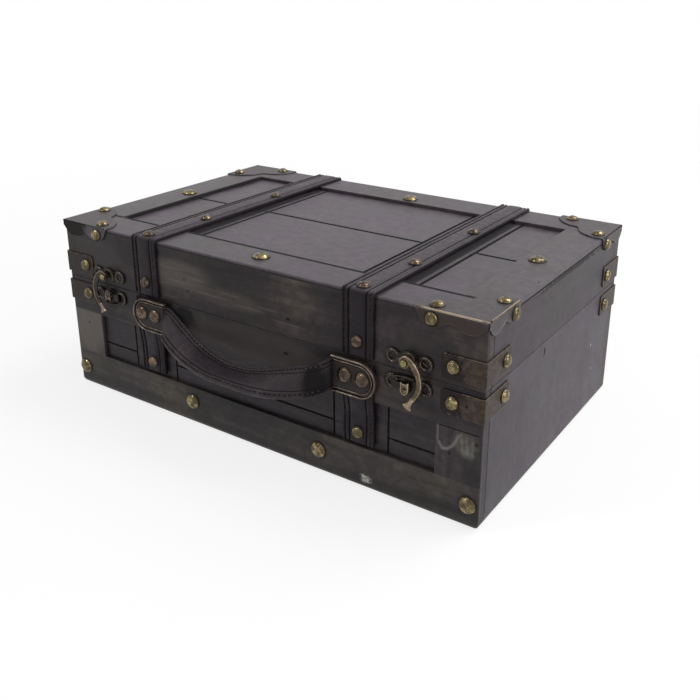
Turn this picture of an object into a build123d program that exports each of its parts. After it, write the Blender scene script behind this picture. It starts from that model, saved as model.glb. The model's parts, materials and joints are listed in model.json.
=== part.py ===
from build123d import *
from math import atan, cos, degrees, pi, radians, sin
import os

# Suitcase-style wooden keepsake box with leather straps, brass tacks and horn latches.
# Millimetres. X runs along the box, the front faces -Y, +Z is up.
# The origin is the middle of the flat underside of the wood.

# Box and boards
BOX_LENGTH = 300.0
BOX_DEPTH = 190.0
BOX_HEIGHT = 115.0
LID_HEIGHT = 36.5          # from the seam to the top
SEAM_GAP = 0.4
CORE = 5.1                 # boards that carry the applied rails
OVERLAY = 2.3              # rails and stiles laid on those boards
FLOOR = 5.0
BOTTOM_ROUND = 4.0         # worn round of the bottom edges
CORNER_ROUND = 1.0         # worn round of the upright edges
TOP_ROUND = 0.8            # worn round of the top edges

# Applied frames
TOP_RAIL = 26.6            # width of the long rails on the lid
TOP_STILE = 26.2           # width of the short stiles on the lid
FRONT_TOP_RAIL = 23.0
FRONT_BOTTOM_RAIL = 25.5
FRONT_STILE = 25.8
GROOVE_WIDTH = 1.1         # joints between the planks of the panels
GROOVE_DEPTH = 0.9
INNER_JOINT_FROM_END = 90.0
OUTER_JOINT_FROM_END = 55.0
FRONT_JOINT_SHARE = 0.336  # height of the long joint in the front panel

# Leather
LEATHER = 2.0
STRAP_WIDTH = 20.0
STRAP_FROM_END = 72.5      # middle of a strap from the end of the box
STRAP_TO_SEAM = 1.6
STRAP_TO_RAIL = 2.7        # foot of a base strap above the bottom rail
STRAP_DIP = 1.2            # how far a base strap sinks into the panel
STRAP_DIP_SHARE = 0.35     # how much of the panel the strap takes to sink
STRAP_EDGE_ROUND = 1.4

# Domed tacks
BIG_TACK_RADIUS = 5.4
BIG_TACK_RISE = 2.6
TACK_RADIUS = 4.4
TACK_RISE = 2.4
STRAP_TACK_RADIUS = 4.1

# Sheet metal corners
SHEET = 0.8
BRACKET_HEIGHT = 13.2
BRACKET_TO_SEAM = 3.1
BRACKET_FRONT_LEG = 23.5
BRACKET_SIDE_LEG = 27.0
BRACKET_FRONT_TACK = 17.1  # tack from the corner of the box
BRACKET_SIDE_TACK = 21.0
BRACKET_END_CUT = 1.5
CAP_FRONT_LEG = 39.0
CAP_SIDE_LEG = 35.0
CAP_CLIP = 5.5             # width of the clipped ends of the top plate
CAP_DROP = 8.6             # how far the flanges come down the walls
CAP_FRONT_TACK = 30.0
CAP_SIDE_TACK = 28.0
CAP_TACK_IN = 5.0          # top tacks from the edge of the lid
CAP_TACK_DOWN = 4.5        # flange tacks below the top of the wood
CAP_EDGE_ROUND = 0.5

# Horn latches
LATCH_RIGHT_TO_BRACKET = 4.5   # outer end of each latch plate from the corner bracket
LATCH_LEFT_TO_BRACKET = 0.3
LATCH_LID_RISE = 6.9       # middles of the latch plates from the seam
LATCH_BASE_FALL = 7.1
PLATE_SHEET = 1.0
PLATE_LENGTH = 28.4
PLATE_LOBE_RADIUS = 4.6
PLATE_MIDDLE_RADIUS = 5.0
PLATE_NECK = 6.4
SCREW_HOLE_RADIUS = 2.1
SCREW_HEAD_RADIUS = 1.9
SCREW_HEAD_RISE = 0.6
PIVOT_RADIUS = 1.5
PIVOT_CLEARANCE = 0.06
PIVOT_HEAD_RADIUS = 2.7
PIVOT_HEAD_RISE = 1.5
BOSS_RADIUS = 3.3
BOSS_RISE = 2.9            # stands the hook off the plate
RUN_GAP = 0.1              # side play beside the hook
HOOK_THICK = 1.8
HOOK_EYE_RADIUS = 3.7
HOOK_BULGE = 9.7           # outermost edge of the horn from its pivot
HOOK_BREADTH = 3.3
HOOK_DROP = 21.6           # pivot to the foot of the horn
HOOK_FOOT_OUT = 3.4
HOOK_THUMB_WIDTH = 5.6     # cross bar at the foot, and the ball below it
HOOK_THUMB_BAR = 2.4
HOOK_THUMB_RADIUS = 2.1
HOOK_THUMB_DROP = 2.0
CATCH_WIDTH = 8.2
CATCH_HEIGHT = 8.0
CATCH_INWARD = 2.4         # middle of the catch from the middle of its plate
CATCH_TO_HOOK = 0.4
CATCH_SHEET = 1.1
CATCH_CORNER_ROUND = 1.4
CATCH_PRONG = 2.0          # how far the prong reaches past the tongue

# Carrying handle
HANDLE_PLATE_LEFT_IN = 17.0    # inner end of each handle plate from the middle of its strap
HANDLE_PLATE_RIGHT_IN = 14.8
HANDLE_WIDTH = 18.4
HANDLE_THICK = 2.6
HANDLE_BOW = 14.0          # how far the middle stands out
HANDLE_SAG = 15.0          # how far the middle hangs down
HANDLE_TILT = 52.0         # degrees that the middle leans out
HANDLE_CURVE = 0.6         # power of the sine that shapes the hang
HANDLE_GAP = 0.3
HANDLE_PLATE_LENGTH = 28.0
HANDLE_PLATE_HEIGHT = 21.4
HANDLE_PLATE_TO_SEAM = 0.4
HANDLE_PLATE_FLOOR = 0.8
RIM_WIDTH = 1.3
RIM_RISE = 1.8
RIM_STEP_WIDTH = 0.9       # groove between the two rims
INNER_RIM_WIDTH = 1.0
INNER_RIM_RISE = 1.3
TAB_GAP = 0.2
TAB_THICK = 1.3
RIVET_RADIUS = 4.1
RIVET_RISE = 2.2
RIVET_UP = 1.0
RIVET_NEAR = 8.6           # rivets from the handle's end of the plate
RIVET_FAR = 19.6

# Hinges on the back
HINGE_LENGTH = 24.0
LEAF_HEIGHT = 13.0
LEAF_SHEET = 1.0
KNUCKLE_RADIUS = 2.0
KNUCKLE_OFF = 0.15         # barrel clear of the wood
KNUCKLE_GAP = 0.2
HINGE_PIN_RADIUS = 1.0
HINGE_PIN_CLEARANCE = 0.05
HINGE_SCREW_RADIUS = 1.9
HINGE_SCREW_RISE = 0.8
HINGE_SCREW_SPREAD = 7.0
HINGE_SCREW_DOWN = 8.0

OVERRUN = 2.0              # every cutter runs this far past what it cuts

# Sizes worked out from the ones above
WALL = CORE + OVERLAY
SEAM_HEIGHT = BOX_HEIGHT - LID_HEIGHT
HALF_LENGTH = BOX_LENGTH / 2
HALF_DEPTH = BOX_DEPTH / 2
BASE_TOP = SEAM_HEIGHT - SEAM_GAP / 2
LID_BOTTOM = SEAM_HEIGHT + SEAM_GAP / 2
LID_CORE_TOP = BOX_HEIGHT - OVERLAY
INNER_HALF_LENGTH = HALF_LENGTH - WALL
INNER_HALF_DEPTH = HALF_DEPTH - WALL
FRONT = -HALF_DEPTH
PANEL_FRONT = FRONT + OVERLAY
INNER_JOINT = HALF_LENGTH - INNER_JOINT_FROM_END
OUTER_JOINT = HALF_LENGTH - OUTER_JOINT_FROM_END
STRAP_OUT = HALF_LENGTH - STRAP_FROM_END
STRAP_FOOT = FRONT_BOTTOM_RAIL + STRAP_TO_RAIL
BRACKET_START = HALF_LENGTH - BRACKET_FRONT_LEG
LATCH_RIGHT_OUT = BRACKET_START - LATCH_RIGHT_TO_BRACKET - PLATE_LENGTH / 2
LATCH_LEFT_OUT = BRACKET_START - LATCH_LEFT_TO_BRACKET - PLATE_LENGTH / 2
LATCH_LID_HEIGHT = SEAM_HEIGHT + LATCH_LID_RISE
LATCH_BASE_HEIGHT = SEAM_HEIGHT - LATCH_BASE_FALL
HINGE_OUT = (STRAP_OUT + STRAP_WIDTH / 2 + BRACKET_START) / 2
HINGE_AXIS_Y = HALF_DEPTH + KNUCKLE_RADIUS + KNUCKLE_OFF
PLATE_FRONT = FRONT - PLATE_SHEET
HOOK_BACK = PLATE_FRONT - BOSS_RISE - RUN_GAP
BRACKET_BASE_MIDDLE = SEAM_HEIGHT - BRACKET_TO_SEAM - BRACKET_HEIGHT / 2
BRACKET_LID_MIDDLE = SEAM_HEIGHT + BRACKET_TO_SEAM + BRACKET_HEIGHT / 2
HANDLE_SEAT = FRONT - LEATHER
TAB_BACK = HANDLE_SEAT - HANDLE_PLATE_FLOOR
HANDLE_PLATE_MIDDLE = SEAM_HEIGHT - HANDLE_PLATE_TO_SEAM - HANDLE_PLATE_HEIGHT / 2
HANDLE_LEFT = -(STRAP_OUT - HANDLE_PLATE_LEFT_IN - HANDLE_GAP)
HANDLE_RIGHT = STRAP_OUT - HANDLE_PLATE_RIGHT_IN - HANDLE_GAP

# Domed heads: radius and rise of each ring of facets
DOME_SHARES = [(1.0, 0.0), (0.8, 0.58), (0.38, 1.0)]
DOME_SIDES = 10
SMALL_ROUND_SIDES = 12     # lobes of the latch plates and the thumb ends
PLATE_ROUND_SIDES = 24     # round ends of the handle plates
# Scalloped edge of a cap's flange, as shares of the leg from the corner and of the drop
FLANGE_SHARES = [
    (0.0, 0.36), (0.09, 0.80), (0.21, 1.0), (0.33, 0.92), (0.49, 0.60),
    (0.62, 0.86), (0.75, 1.0), (0.88, 0.86), (0.96, 0.50), (1.0, 0.0),
]
# Long side of a cap's top plate, as shares along and across it
PLATE_WAVE_SHARES = [
    (0.0, 0.0), (0.15, 0.04), (0.35, 0.04), (0.5, -0.03), (0.65, 0.04), (0.85, 0.04), (1.0, 0.0),
]
# Tacks on the straps: along the lid as shares of half its depth, and across the strap
LID_TACK_SHARES = [(-0.955, 0.0), (-0.48, 0.19), (0.25, 0.22)]
LID_FRONT_TACK_SHARE = 0.26
BASE_TACK_SHARE = 0.13
# Big tacks along the bottom rail and in the frame of the top, as shares of half the box
BOTTOM_TACK_SHARES = [(-0.963, 0.53), (-0.305, 0.62), (0.337, 0.57), (0.959, 0.55)]
FRAME_TACK_SHARES = [(0.01, -0.85), (0.04, 0.8), (-0.888, 0.0), (0.886, 0.02)]
# Latch horn: where its outlines leave the eye, how far down it bulges, where its foot ends
HORN_START_SHARES = (0.32, 0.92)
HORN_RETURN_SHARES = (0.24, 0.9)
HORN_BULGE_SHARE = 0.42
HORN_FOOT_SHARE = 0.9
# Stations of the handle, from one end to the middle
HANDLE_SHARES = [0.0, 0.025, 0.075, 0.15, 0.25, 0.37, 0.5]

UP = (0, 0, 1)
FORWARD = (0, -1, 0)
BACKWARD = (0, 1, 0)


def block(x0, x1, y0, y1, z0, z1):
    """A plain board between two corners."""
    middle = ((x0 + x1) / 2, (y0 + y1) / 2, (z0 + z1) / 2)
    return Pos(*middle) * Box(x1 - x0, y1 - y0, z1 - z0)


def save(name, *solids):
    """Write one named piece, or one group of like pieces."""
    pieces = []
    for solid in solids:
        pieces.extend(solid.solids())
    shape = pieces[0] if len(pieces) == 1 else Compound(pieces)
    shape.label = name
    export_step(shape, f"parts/{name}.step")


def facing(place, normal):
    """A frame at a point of a face, its Z along the face's normal."""
    return Plane(origin=place, z_dir=normal).location


def rounded(radius, sides):
    """A round that nothing turns in, drawn with flat sides."""
    return RegularPolygon(radius, sides)


def dome(radius, rise):
    """A hammered domed head on a flat back: two rings of facets and a flat top."""
    to_flat = cos(pi / DOME_SIDES)
    head = Part()
    for (reach, low), (next_reach, high) in zip(DOME_SHARES, DOME_SHARES[1:]):
        height = (high - low) * rise
        taper = degrees(atan((reach - next_reach) * radius * to_flat / height))
        ring = Pos(0, 0, low * rise) * rounded(reach * radius, DOME_SIDES)
        head += extrude(ring, amount=height, taper=taper)
    return head


def tack(place, normal, radius, rise):
    return facing(place, normal) * dome(radius, rise)


def outer_form():
    """The whole box as one block with its worn edges, used to trim every board."""
    form = block(-HALF_LENGTH, HALF_LENGTH, -HALF_DEPTH, HALF_DEPTH, 0, BOX_HEIGHT)
    form = fillet(form.edges().filter_by(Axis.Z), CORNER_ROUND)
    form = fillet(form.faces().sort_by(Axis.Z)[0].edges(), BOTTOM_ROUND)
    return fillet(form.faces().sort_by(Axis.Z)[-1].edges(), TOP_ROUND)


FORM = outer_form()


def upright_joints(y0, y1, z0, z1):
    """The four plank joints that cross a panel."""
    half = GROOVE_WIDTH / 2
    places = (-OUTER_JOINT, -INNER_JOINT, INNER_JOINT, OUTER_JOINT)
    return [block(x - half, x + half, y0, y1, z0, z1) for x in places]


def long_joint_spans(stile):
    """The stretches of the joint that runs along a panel, clear of the strap planks."""
    edge = HALF_LENGTH - stile
    return ((-edge, -OUTER_JOINT), (-INNER_JOINT, INNER_JOINT), (OUTER_JOINT, edge))


def base_front_board():
    board = block(-HALF_LENGTH, HALF_LENGTH, PANEL_FRONT, FRONT + WALL, 0, BASE_TOP)
    depth = PANEL_FRONT + GROOVE_DEPTH
    mouth = PANEL_FRONT - OVERRUN
    low = FRONT_BOTTOM_RAIL
    high = BASE_TOP - FRONT_TOP_RAIL
    for cut in upright_joints(mouth, depth, low, high):
        board -= cut
    half = GROOVE_WIDTH / 2
    joint = low + (high - low) * FRONT_JOINT_SHARE
    for x0, x1 in long_joint_spans(FRONT_STILE):
        board -= block(x0, x1, mouth, depth, joint - half, joint + half)
    return board & FORM


def front_frame():
    """Rails and stiles laid on the front of the base."""
    rail_low = BASE_TOP - FRONT_TOP_RAIL
    inner = HALF_LENGTH - FRONT_STILE
    pieces = {
        "front_top_rail": block(-HALF_LENGTH, HALF_LENGTH, FRONT, PANEL_FRONT, rail_low, BASE_TOP),
        "front_bottom_rail": block(-HALF_LENGTH, HALF_LENGTH, FRONT, PANEL_FRONT, 0, FRONT_BOTTOM_RAIL),
        "front_left_stile": block(-HALF_LENGTH, -inner, FRONT, PANEL_FRONT, FRONT_BOTTOM_RAIL, rail_low),
        "front_right_stile": block(inner, HALF_LENGTH, FRONT, PANEL_FRONT, FRONT_BOTTOM_RAIL, rail_low),
    }
    return {name: piece & FORM for name, piece in pieces.items()}


def base_boards():
    """Back, sides and floor of the base."""
    pieces = {
        "base_back_board": block(-HALF_LENGTH, HALF_LENGTH, HALF_DEPTH - WALL, HALF_DEPTH, 0, BASE_TOP),
        "base_left_board": block(
            -HALF_LENGTH, -INNER_HALF_LENGTH, -INNER_HALF_DEPTH, INNER_HALF_DEPTH, 0, BASE_TOP),
        "base_right_board": block(
            INNER_HALF_LENGTH, HALF_LENGTH, -INNER_HALF_DEPTH, INNER_HALF_DEPTH, 0, BASE_TOP),
        "base_floor": block(
            -INNER_HALF_LENGTH, INNER_HALF_LENGTH, -INNER_HALF_DEPTH, INNER_HALF_DEPTH, 0, FLOOR),
    }
    return {name: piece & FORM for name, piece in pieces.items()}


def lid_walls():
    """Front, back and sides of the lid, which stop under the applied frame."""
    low = LID_BOTTOM
    high = LID_CORE_TOP
    pieces = {
        "lid_front_board": block(-HALF_LENGTH, HALF_LENGTH, FRONT, FRONT + WALL, low, high),
        "lid_back_board": block(-HALF_LENGTH, HALF_LENGTH, HALF_DEPTH - WALL, HALF_DEPTH, low, high),
        "lid_left_board": block(
            -HALF_LENGTH, -INNER_HALF_LENGTH, -INNER_HALF_DEPTH, INNER_HALF_DEPTH, low, high),
        "lid_right_board": block(
            INNER_HALF_LENGTH, HALF_LENGTH, -INNER_HALF_DEPTH, INNER_HALF_DEPTH, low, high),
    }
    return {name: piece & FORM for name, piece in pieces.items()}


def lid_top_board():
    """The panel of the lid, let in between its walls, with its plank joints."""
    board = block(-INNER_HALF_LENGTH, INNER_HALF_LENGTH, -INNER_HALF_DEPTH, INNER_HALF_DEPTH,
                  LID_CORE_TOP - CORE, LID_CORE_TOP)
    edge = HALF_DEPTH - TOP_RAIL
    bottom = LID_CORE_TOP - GROOVE_DEPTH
    mouth = LID_CORE_TOP + OVERRUN
    for cut in upright_joints(-edge, edge, bottom, mouth):
        board -= cut
    half = GROOVE_WIDTH / 2
    for x0, x1 in long_joint_spans(TOP_STILE):
        board -= block(x0, x1, -half, half, bottom, mouth)
    return board


def top_frame():
    """Rails and stiles laid on the lid."""
    low = LID_CORE_TOP
    edge = HALF_DEPTH - TOP_RAIL
    inner = HALF_LENGTH - TOP_STILE
    pieces = {
        "top_front_rail": block(-HALF_LENGTH, HALF_LENGTH, FRONT, -edge, low, BOX_HEIGHT),
        "top_back_rail": block(-HALF_LENGTH, HALF_LENGTH, edge, HALF_DEPTH, low, BOX_HEIGHT),
        "top_left_stile": block(-HALF_LENGTH, -inner, -edge, edge, low, BOX_HEIGHT),
        "top_right_stile": block(inner, HALF_LENGTH, -edge, edge, low, BOX_HEIGHT),
    }
    return {name: piece & FORM for name, piece in pieces.items()}


def lid_strap(middle):
    """A strap down the front of the lid, over its top and down its back."""
    x0 = middle - STRAP_WIDTH / 2
    x1 = middle + STRAP_WIDTH / 2
    foot = SEAM_HEIGHT + STRAP_TO_SEAM
    outside = block(x0, x1, FRONT - LEATHER, HALF_DEPTH + LEATHER, foot, BOX_HEIGHT + LEATHER)
    turns = outside.faces().sort_by(Axis.Z)[-1].edges().filter_by(Axis.X)
    outside = fillet(turns, STRAP_EDGE_ROUND)
    inside = block(x0 - OVERRUN, x1 + OVERRUN, FRONT, HALF_DEPTH, foot - OVERRUN, BOX_HEIGHT)
    return outside - inside


def base_strap_slope():
    """Heights between which a base strap sinks from the rail into the panel."""
    rail_low = BASE_TOP - FRONT_TOP_RAIL
    return rail_low, rail_low - (rail_low - STRAP_FOOT) * STRAP_DIP_SHARE


def base_strap_dip(height):
    """How far a base strap has sunk at a height."""
    rail_low, level = base_strap_slope()
    return STRAP_DIP * min(max((rail_low - height) / (rail_low - level), 0), 1)


def base_front_strap(middle):
    """A strap from the seam to the foot of the panel, sunk a little into the panel."""
    top = SEAM_HEIGHT - STRAP_TO_SEAM
    rail_low, level = base_strap_slope()
    sunk = FRONT + STRAP_DIP
    outline = Polyline(
        (FRONT, top), (FRONT, rail_low), (sunk, level), (sunk, STRAP_FOOT),
        (sunk - LEATHER, STRAP_FOOT), (sunk - LEATHER, level),
        (FRONT - LEATHER, rail_low), (FRONT - LEATHER, top), close=True)
    band = extrude(Plane.YZ * make_face(outline), amount=STRAP_WIDTH / 2, both=True)
    return Pos(middle, 0, 0) * band


def base_back_strap(middle):
    half = STRAP_WIDTH / 2
    top = SEAM_HEIGHT - STRAP_TO_SEAM
    return block(middle - half, middle + half, HALF_DEPTH, HALF_DEPTH + LEATHER, STRAP_FOOT, top)


def lid_strap_tacks():
    """Tacks down the front, along the top and down the back of both lid straps."""
    tacks = []
    height = LID_BOTTOM + (BOX_HEIGHT - LID_BOTTOM) * LID_FRONT_TACK_SHARE
    for middle in (-STRAP_OUT, STRAP_OUT):
        for along, across in LID_TACK_SHARES:
            place = (middle + across * STRAP_WIDTH, along * HALF_DEPTH, BOX_HEIGHT + LEATHER)
            tacks.append(tack(place, UP, STRAP_TACK_RADIUS, TACK_RISE))
        front = (middle, FRONT - LEATHER, height)
        back = (middle, HALF_DEPTH + LEATHER, height)
        tacks.append(tack(front, FORWARD, STRAP_TACK_RADIUS, TACK_RISE))
        tacks.append(tack(back, BACKWARD, STRAP_TACK_RADIUS, TACK_RISE))
    return tacks


def base_strap_tacks():
    """One tack at the foot of each base strap, front and back."""
    tacks = []
    height = STRAP_FOOT + (SEAM_HEIGHT - STRAP_FOOT) * BASE_TACK_SHARE
    dip = base_strap_dip(height + STRAP_TACK_RADIUS)
    for middle in (-STRAP_OUT, STRAP_OUT):
        front = (middle, FRONT + dip - LEATHER, height)
        back = (middle, HALF_DEPTH + LEATHER, height)
        tacks.append(tack(front, FORWARD, STRAP_TACK_RADIUS, TACK_RISE))
        tacks.append(tack(back, BACKWARD, STRAP_TACK_RADIUS, TACK_RISE))
    return tacks


def at_corner(shape, side, face):
    """Carry a piece made for the right front corner to any corner."""
    if side < 0:
        shape = mirror(shape, about=Plane.YZ)
    if face > 0:
        shape = mirror(shape, about=Plane.XZ)
    return shape


def bracket(middle_height):
    """A strip of sheet bent round the right front corner."""
    low = middle_height - BRACKET_HEIGHT / 2
    high = middle_height + BRACKET_HEIGHT / 2
    outside = block(HALF_LENGTH - BRACKET_FRONT_LEG, HALF_LENGTH + SHEET,
                    FRONT - SHEET, FRONT + BRACKET_SIDE_LEG, low, high)
    corner = outside.edges().filter_by(Axis.Z).sort_by(Axis.X)[-2:].sort_by(Axis.Y)[0]
    outside = fillet(corner, SHEET)
    inside = block(HALF_LENGTH - BRACKET_FRONT_LEG - OVERRUN, HALF_LENGTH,
                   FRONT, FRONT + BRACKET_SIDE_LEG + OVERRUN, low - OVERRUN, high + OVERRUN)
    strip = outside - inside
    front_end = strip.edges().filter_by(Axis.Y).sort_by(Axis.X)[:2]
    side_end = strip.edges().filter_by(Axis.X).sort_by(Axis.Y)[-2:]
    return chamfer(front_end + side_end, BRACKET_END_CUT)


def bracket_tacks(middle_height):
    """The two tacks of one bracket, on the front and on the side."""
    front = (HALF_LENGTH - BRACKET_FRONT_TACK, FRONT - SHEET, middle_height)
    side = (HALF_LENGTH + SHEET, FRONT + BRACKET_SIDE_TACK, middle_height)
    return [
        tack(front, FORWARD, TACK_RADIUS, TACK_RISE),
        tack(side, (1, 0, 0), TACK_RADIUS, TACK_RISE),
    ]


def flange_outline(leg, drop):
    """The scalloped edge of a cap's flange: distance from the corner, and drop from the top."""
    edge = [(share * leg, -fall * drop) for share, fall in FLANGE_SHARES]
    return make_face(Polyline(edge + [(leg, SHEET), (-SHEET, SHEET), (-SHEET, edge[0][1]), edge[0]]))


def cap_top_outline():
    """The top plate: a triangle with clipped ends and a wavy long side."""
    start = Vector(CAP_FRONT_LEG, CAP_CLIP)
    along = Vector(CAP_CLIP, CAP_SIDE_LEG) - start
    across = Vector(along.Y, -along.X)
    wave = [start + along * run + across * lift for run, lift in PLATE_WAVE_SHARES]
    back = [(0, CAP_SIDE_LEG), (-SHEET, CAP_SIDE_LEG), (-SHEET, -SHEET), (CAP_FRONT_LEG, -SHEET), start]
    return make_face(Polyline(wave + back))


def corner_cap():
    """The three-sided cap on the right front top corner."""
    point = (HALF_LENGTH, FRONT, BOX_HEIGHT + SHEET)
    top_plane = Plane(origin=point, x_dir=(-1, 0, 0), z_dir=(0, 0, -1))
    top = extrude(top_plane * cap_top_outline(), amount=SHEET)
    front_plane = Plane(origin=(HALF_LENGTH, FRONT, BOX_HEIGHT), x_dir=(-1, 0, 0), z_dir=(0, 1, 0))
    front = extrude(front_plane * flange_outline(CAP_FRONT_LEG, CAP_DROP), amount=-SHEET)
    side_plane = Plane(origin=(HALF_LENGTH, FRONT, BOX_HEIGHT), x_dir=(0, 1, 0), z_dir=(1, 0, 0))
    side = extrude(side_plane * flange_outline(CAP_SIDE_LEG, CAP_DROP), amount=SHEET)
    cap = top + front + side
    outside = [edge for edge in cap.edges() if runs_along_corner(edge)]
    return fillet(outside, CAP_EDGE_ROUND)


def runs_along_corner(edge):
    """True for the three long outside edges that meet at the cap's point."""
    point = Vector(HALF_LENGTH + SHEET, FRONT - SHEET, BOX_HEIGHT + SHEET)
    if edge.geom_type != GeomType.LINE:
        return False
    near = min((edge.position_at(t) - point).length for t in (0, 1))
    return near < SHEET / 10


def cap_tacks():
    """The four tacks of one cap: two on the top, one on each flange."""
    top = BOX_HEIGHT + SHEET
    low = BOX_HEIGHT - CAP_TACK_DOWN
    near_front = FRONT + CAP_TACK_IN
    near_side = HALF_LENGTH - CAP_TACK_IN
    along_front = HALF_LENGTH - CAP_FRONT_TACK
    along_side = FRONT + CAP_SIDE_TACK
    return [
        tack((along_front, near_front, top), UP, TACK_RADIUS, TACK_RISE),
        tack((near_side, along_side, top), UP, TACK_RADIUS, TACK_RISE),
        tack((along_front, FRONT - SHEET, low), FORWARD, TACK_RADIUS, TACK_RISE),
        tack((HALF_LENGTH + SHEET, along_side, low), (1, 0, 0), TACK_RADIUS, TACK_RISE),
    ]


def bottom_rail_tacks():
    tacks = []
    for along, up in BOTTOM_TACK_SHARES:
        place = (along * HALF_LENGTH, FRONT, up * FRONT_BOTTOM_RAIL)
        tacks.append(tack(place, FORWARD, BIG_TACK_RADIUS, BIG_TACK_RISE))
    return tacks


def top_frame_tacks():
    tacks = []
    for along, across in FRAME_TACK_SHARES:
        place = (along * HALF_LENGTH, across * HALF_DEPTH, BOX_HEIGHT)
        tacks.append(tack(place, UP, BIG_TACK_RADIUS, BIG_TACK_RISE))
    return tacks


def on_front(shape, depth, out, height, hand):
    """Stand a flat piece, drawn in its own XY, on the front at a place beside the middle."""
    plane = Plane(origin=(0, depth, height), x_dir=(1, 0, 0), z_dir=FORWARD)
    standing = Pos(out, 0, 0) * (plane.location * shape)
    return mirror(standing, about=Plane.YZ) if hand < 0 else standing


def screw_offset():
    return PLATE_LENGTH / 2 - PLATE_LOBE_RADIUS


def lobed_plate():
    """A latch plate: two round ends and a round middle joined by a neck, with two screw holes."""
    reach = screw_offset()
    outline = Rectangle(2 * reach, PLATE_NECK) + rounded(PLATE_MIDDLE_RADIUS, SMALL_ROUND_SIDES)
    for side in (-reach, reach):
        outline += Pos(side, 0) * rounded(PLATE_LOBE_RADIUS, SMALL_ROUND_SIDES)
    for side in (-reach, reach):
        outline -= Pos(side, 0) * rounded(SCREW_HOLE_RADIUS, SMALL_ROUND_SIDES)
    return extrude(outline, amount=PLATE_SHEET)


def latch_plate(out, hand):
    """The plate on the lid, with the boss that stands the hook off."""
    plate = lobed_plate()
    plate += extrude(rounded(BOSS_RADIUS, SMALL_ROUND_SIDES), amount=PLATE_SHEET + BOSS_RISE)
    plate -= extrude(Circle(PIVOT_RADIUS), amount=PLATE_SHEET + BOSS_RISE + OVERRUN)
    return on_front(plate, FRONT, out, LATCH_LID_HEIGHT, hand)


def latch_pivot(out, hand):
    """The rivet that the hook turns on."""
    shank = PLATE_SHEET + BOSS_RISE + 2 * RUN_GAP + HOOK_THICK
    rivet = extrude(Circle(PIVOT_RADIUS), amount=shank)
    rivet += Pos(0, 0, shank) * dome(PIVOT_HEAD_RADIUS, PIVOT_HEAD_RISE)
    return on_front(rivet, FRONT, out, LATCH_LID_HEIGHT, hand)


def horn_outline():
    """The horn seen from the front, its pivot at the middle of its eye."""
    outer_x, outer_y = HORN_START_SHARES
    inner_x, inner_y = HORN_RETURN_SHARES
    bulge_height = -HOOK_DROP * HORN_BULGE_SHARE
    foot_inside = HOOK_FOOT_OUT - HOOK_BREADTH / 2
    outer = ThreePointArc((outer_x * HOOK_EYE_RADIUS, outer_y * HOOK_EYE_RADIUS),
                          (HOOK_BULGE, bulge_height), (HOOK_FOOT_OUT, -HOOK_DROP))
    inner = ThreePointArc((foot_inside, -HOOK_DROP * HORN_FOOT_SHARE),
                          (HOOK_BULGE - HOOK_BREADTH, bulge_height),
                          (inner_x * HOOK_EYE_RADIUS, -inner_y * HOOK_EYE_RADIUS))
    foot = Line(outer @ 1, inner @ 0)
    head = Line(inner @ 1, outer @ 0)
    outline = make_face(outer + foot + inner + head) + rounded(HOOK_EYE_RADIUS, PLATE_ROUND_SIDES)
    outline += Pos(foot_inside, -HOOK_DROP) * Rectangle(HOOK_THUMB_WIDTH, HOOK_THUMB_BAR)
    ball = Pos(foot_inside, -HOOK_DROP - HOOK_THUMB_DROP) * rounded(HOOK_THUMB_RADIUS, SMALL_ROUND_SIDES)
    return outline + ball


def hook(out, hand):
    """The horn: an eye, a crescent that bulges away from the catch, and a thumb end."""
    horn = extrude(horn_outline(), amount=HOOK_THICK)
    horn -= extrude(Circle(PIVOT_RADIUS + PIVOT_CLEARANCE), amount=HOOK_THICK + OVERRUN)
    return on_front(horn, HOOK_BACK, out, LATCH_LID_HEIGHT, hand)


def latch_catch(out, hand):
    """The plate on the base: a hooked tongue stands up behind the horn, with a prong beside it."""
    plate = lobed_plate()
    stand = FRONT - HOOK_BACK - CATCH_TO_HOOK
    left = -CATCH_INWARD - CATCH_WIDTH / 2
    right = -CATCH_INWARD + CATCH_WIDTH / 2
    top = CATCH_HEIGHT / 2
    under = stand - CATCH_SHEET
    tongue = Pos(-CATCH_INWARD, 0) * RectangleRounded(CATCH_WIDTH, CATCH_HEIGHT, CATCH_CORNER_ROUND)
    claw = extrude(tongue, amount=stand)
    inner = top - CATCH_SHEET
    claw -= block(left - OVERRUN, right - CATCH_SHEET, -inner, inner, PLATE_SHEET, under)
    prong = block(left - CATCH_PRONG, right - CATCH_PRONG, top - CATCH_SHEET / 2, top + CATCH_SHEET / 2,
                  PLATE_SHEET / 2, under)
    return on_front(plate + claw + prong, FRONT, out, LATCH_BASE_HEIGHT, hand)


def latch_screws(out, hand, height):
    """The two screws of a latch plate, their heads sunk in the plate's holes."""
    screws = []
    for side in (-screw_offset(), screw_offset()):
        head = Pos(side, 0) * extrude(rounded(SCREW_HEAD_RADIUS, SMALL_ROUND_SIDES), amount=SCREW_HEAD_RISE)
        screws.append(on_front(head, FRONT, out, height, hand))
    return screws


def d_outline(inset, inner_end):
    """A D lying on its side: round away from the handle, open or square towards it."""
    radius = HANDLE_PLATE_HEIGHT / 2 - inset
    centre = HANDLE_PLATE_LENGTH - HANDLE_PLATE_HEIGHT / 2
    body = Pos((inner_end + centre) / 2, 0) * Rectangle(centre - inner_end, 2 * radius)
    return body + Pos(centre, 0) * rounded(radius, PLATE_ROUND_SIDES)


def plate_place(hand):
    """Where a handle plate starts, beside the end of the handle."""
    end = HANDLE_RIGHT if hand > 0 else -HANDLE_LEFT
    return end + HANDLE_GAP


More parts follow.
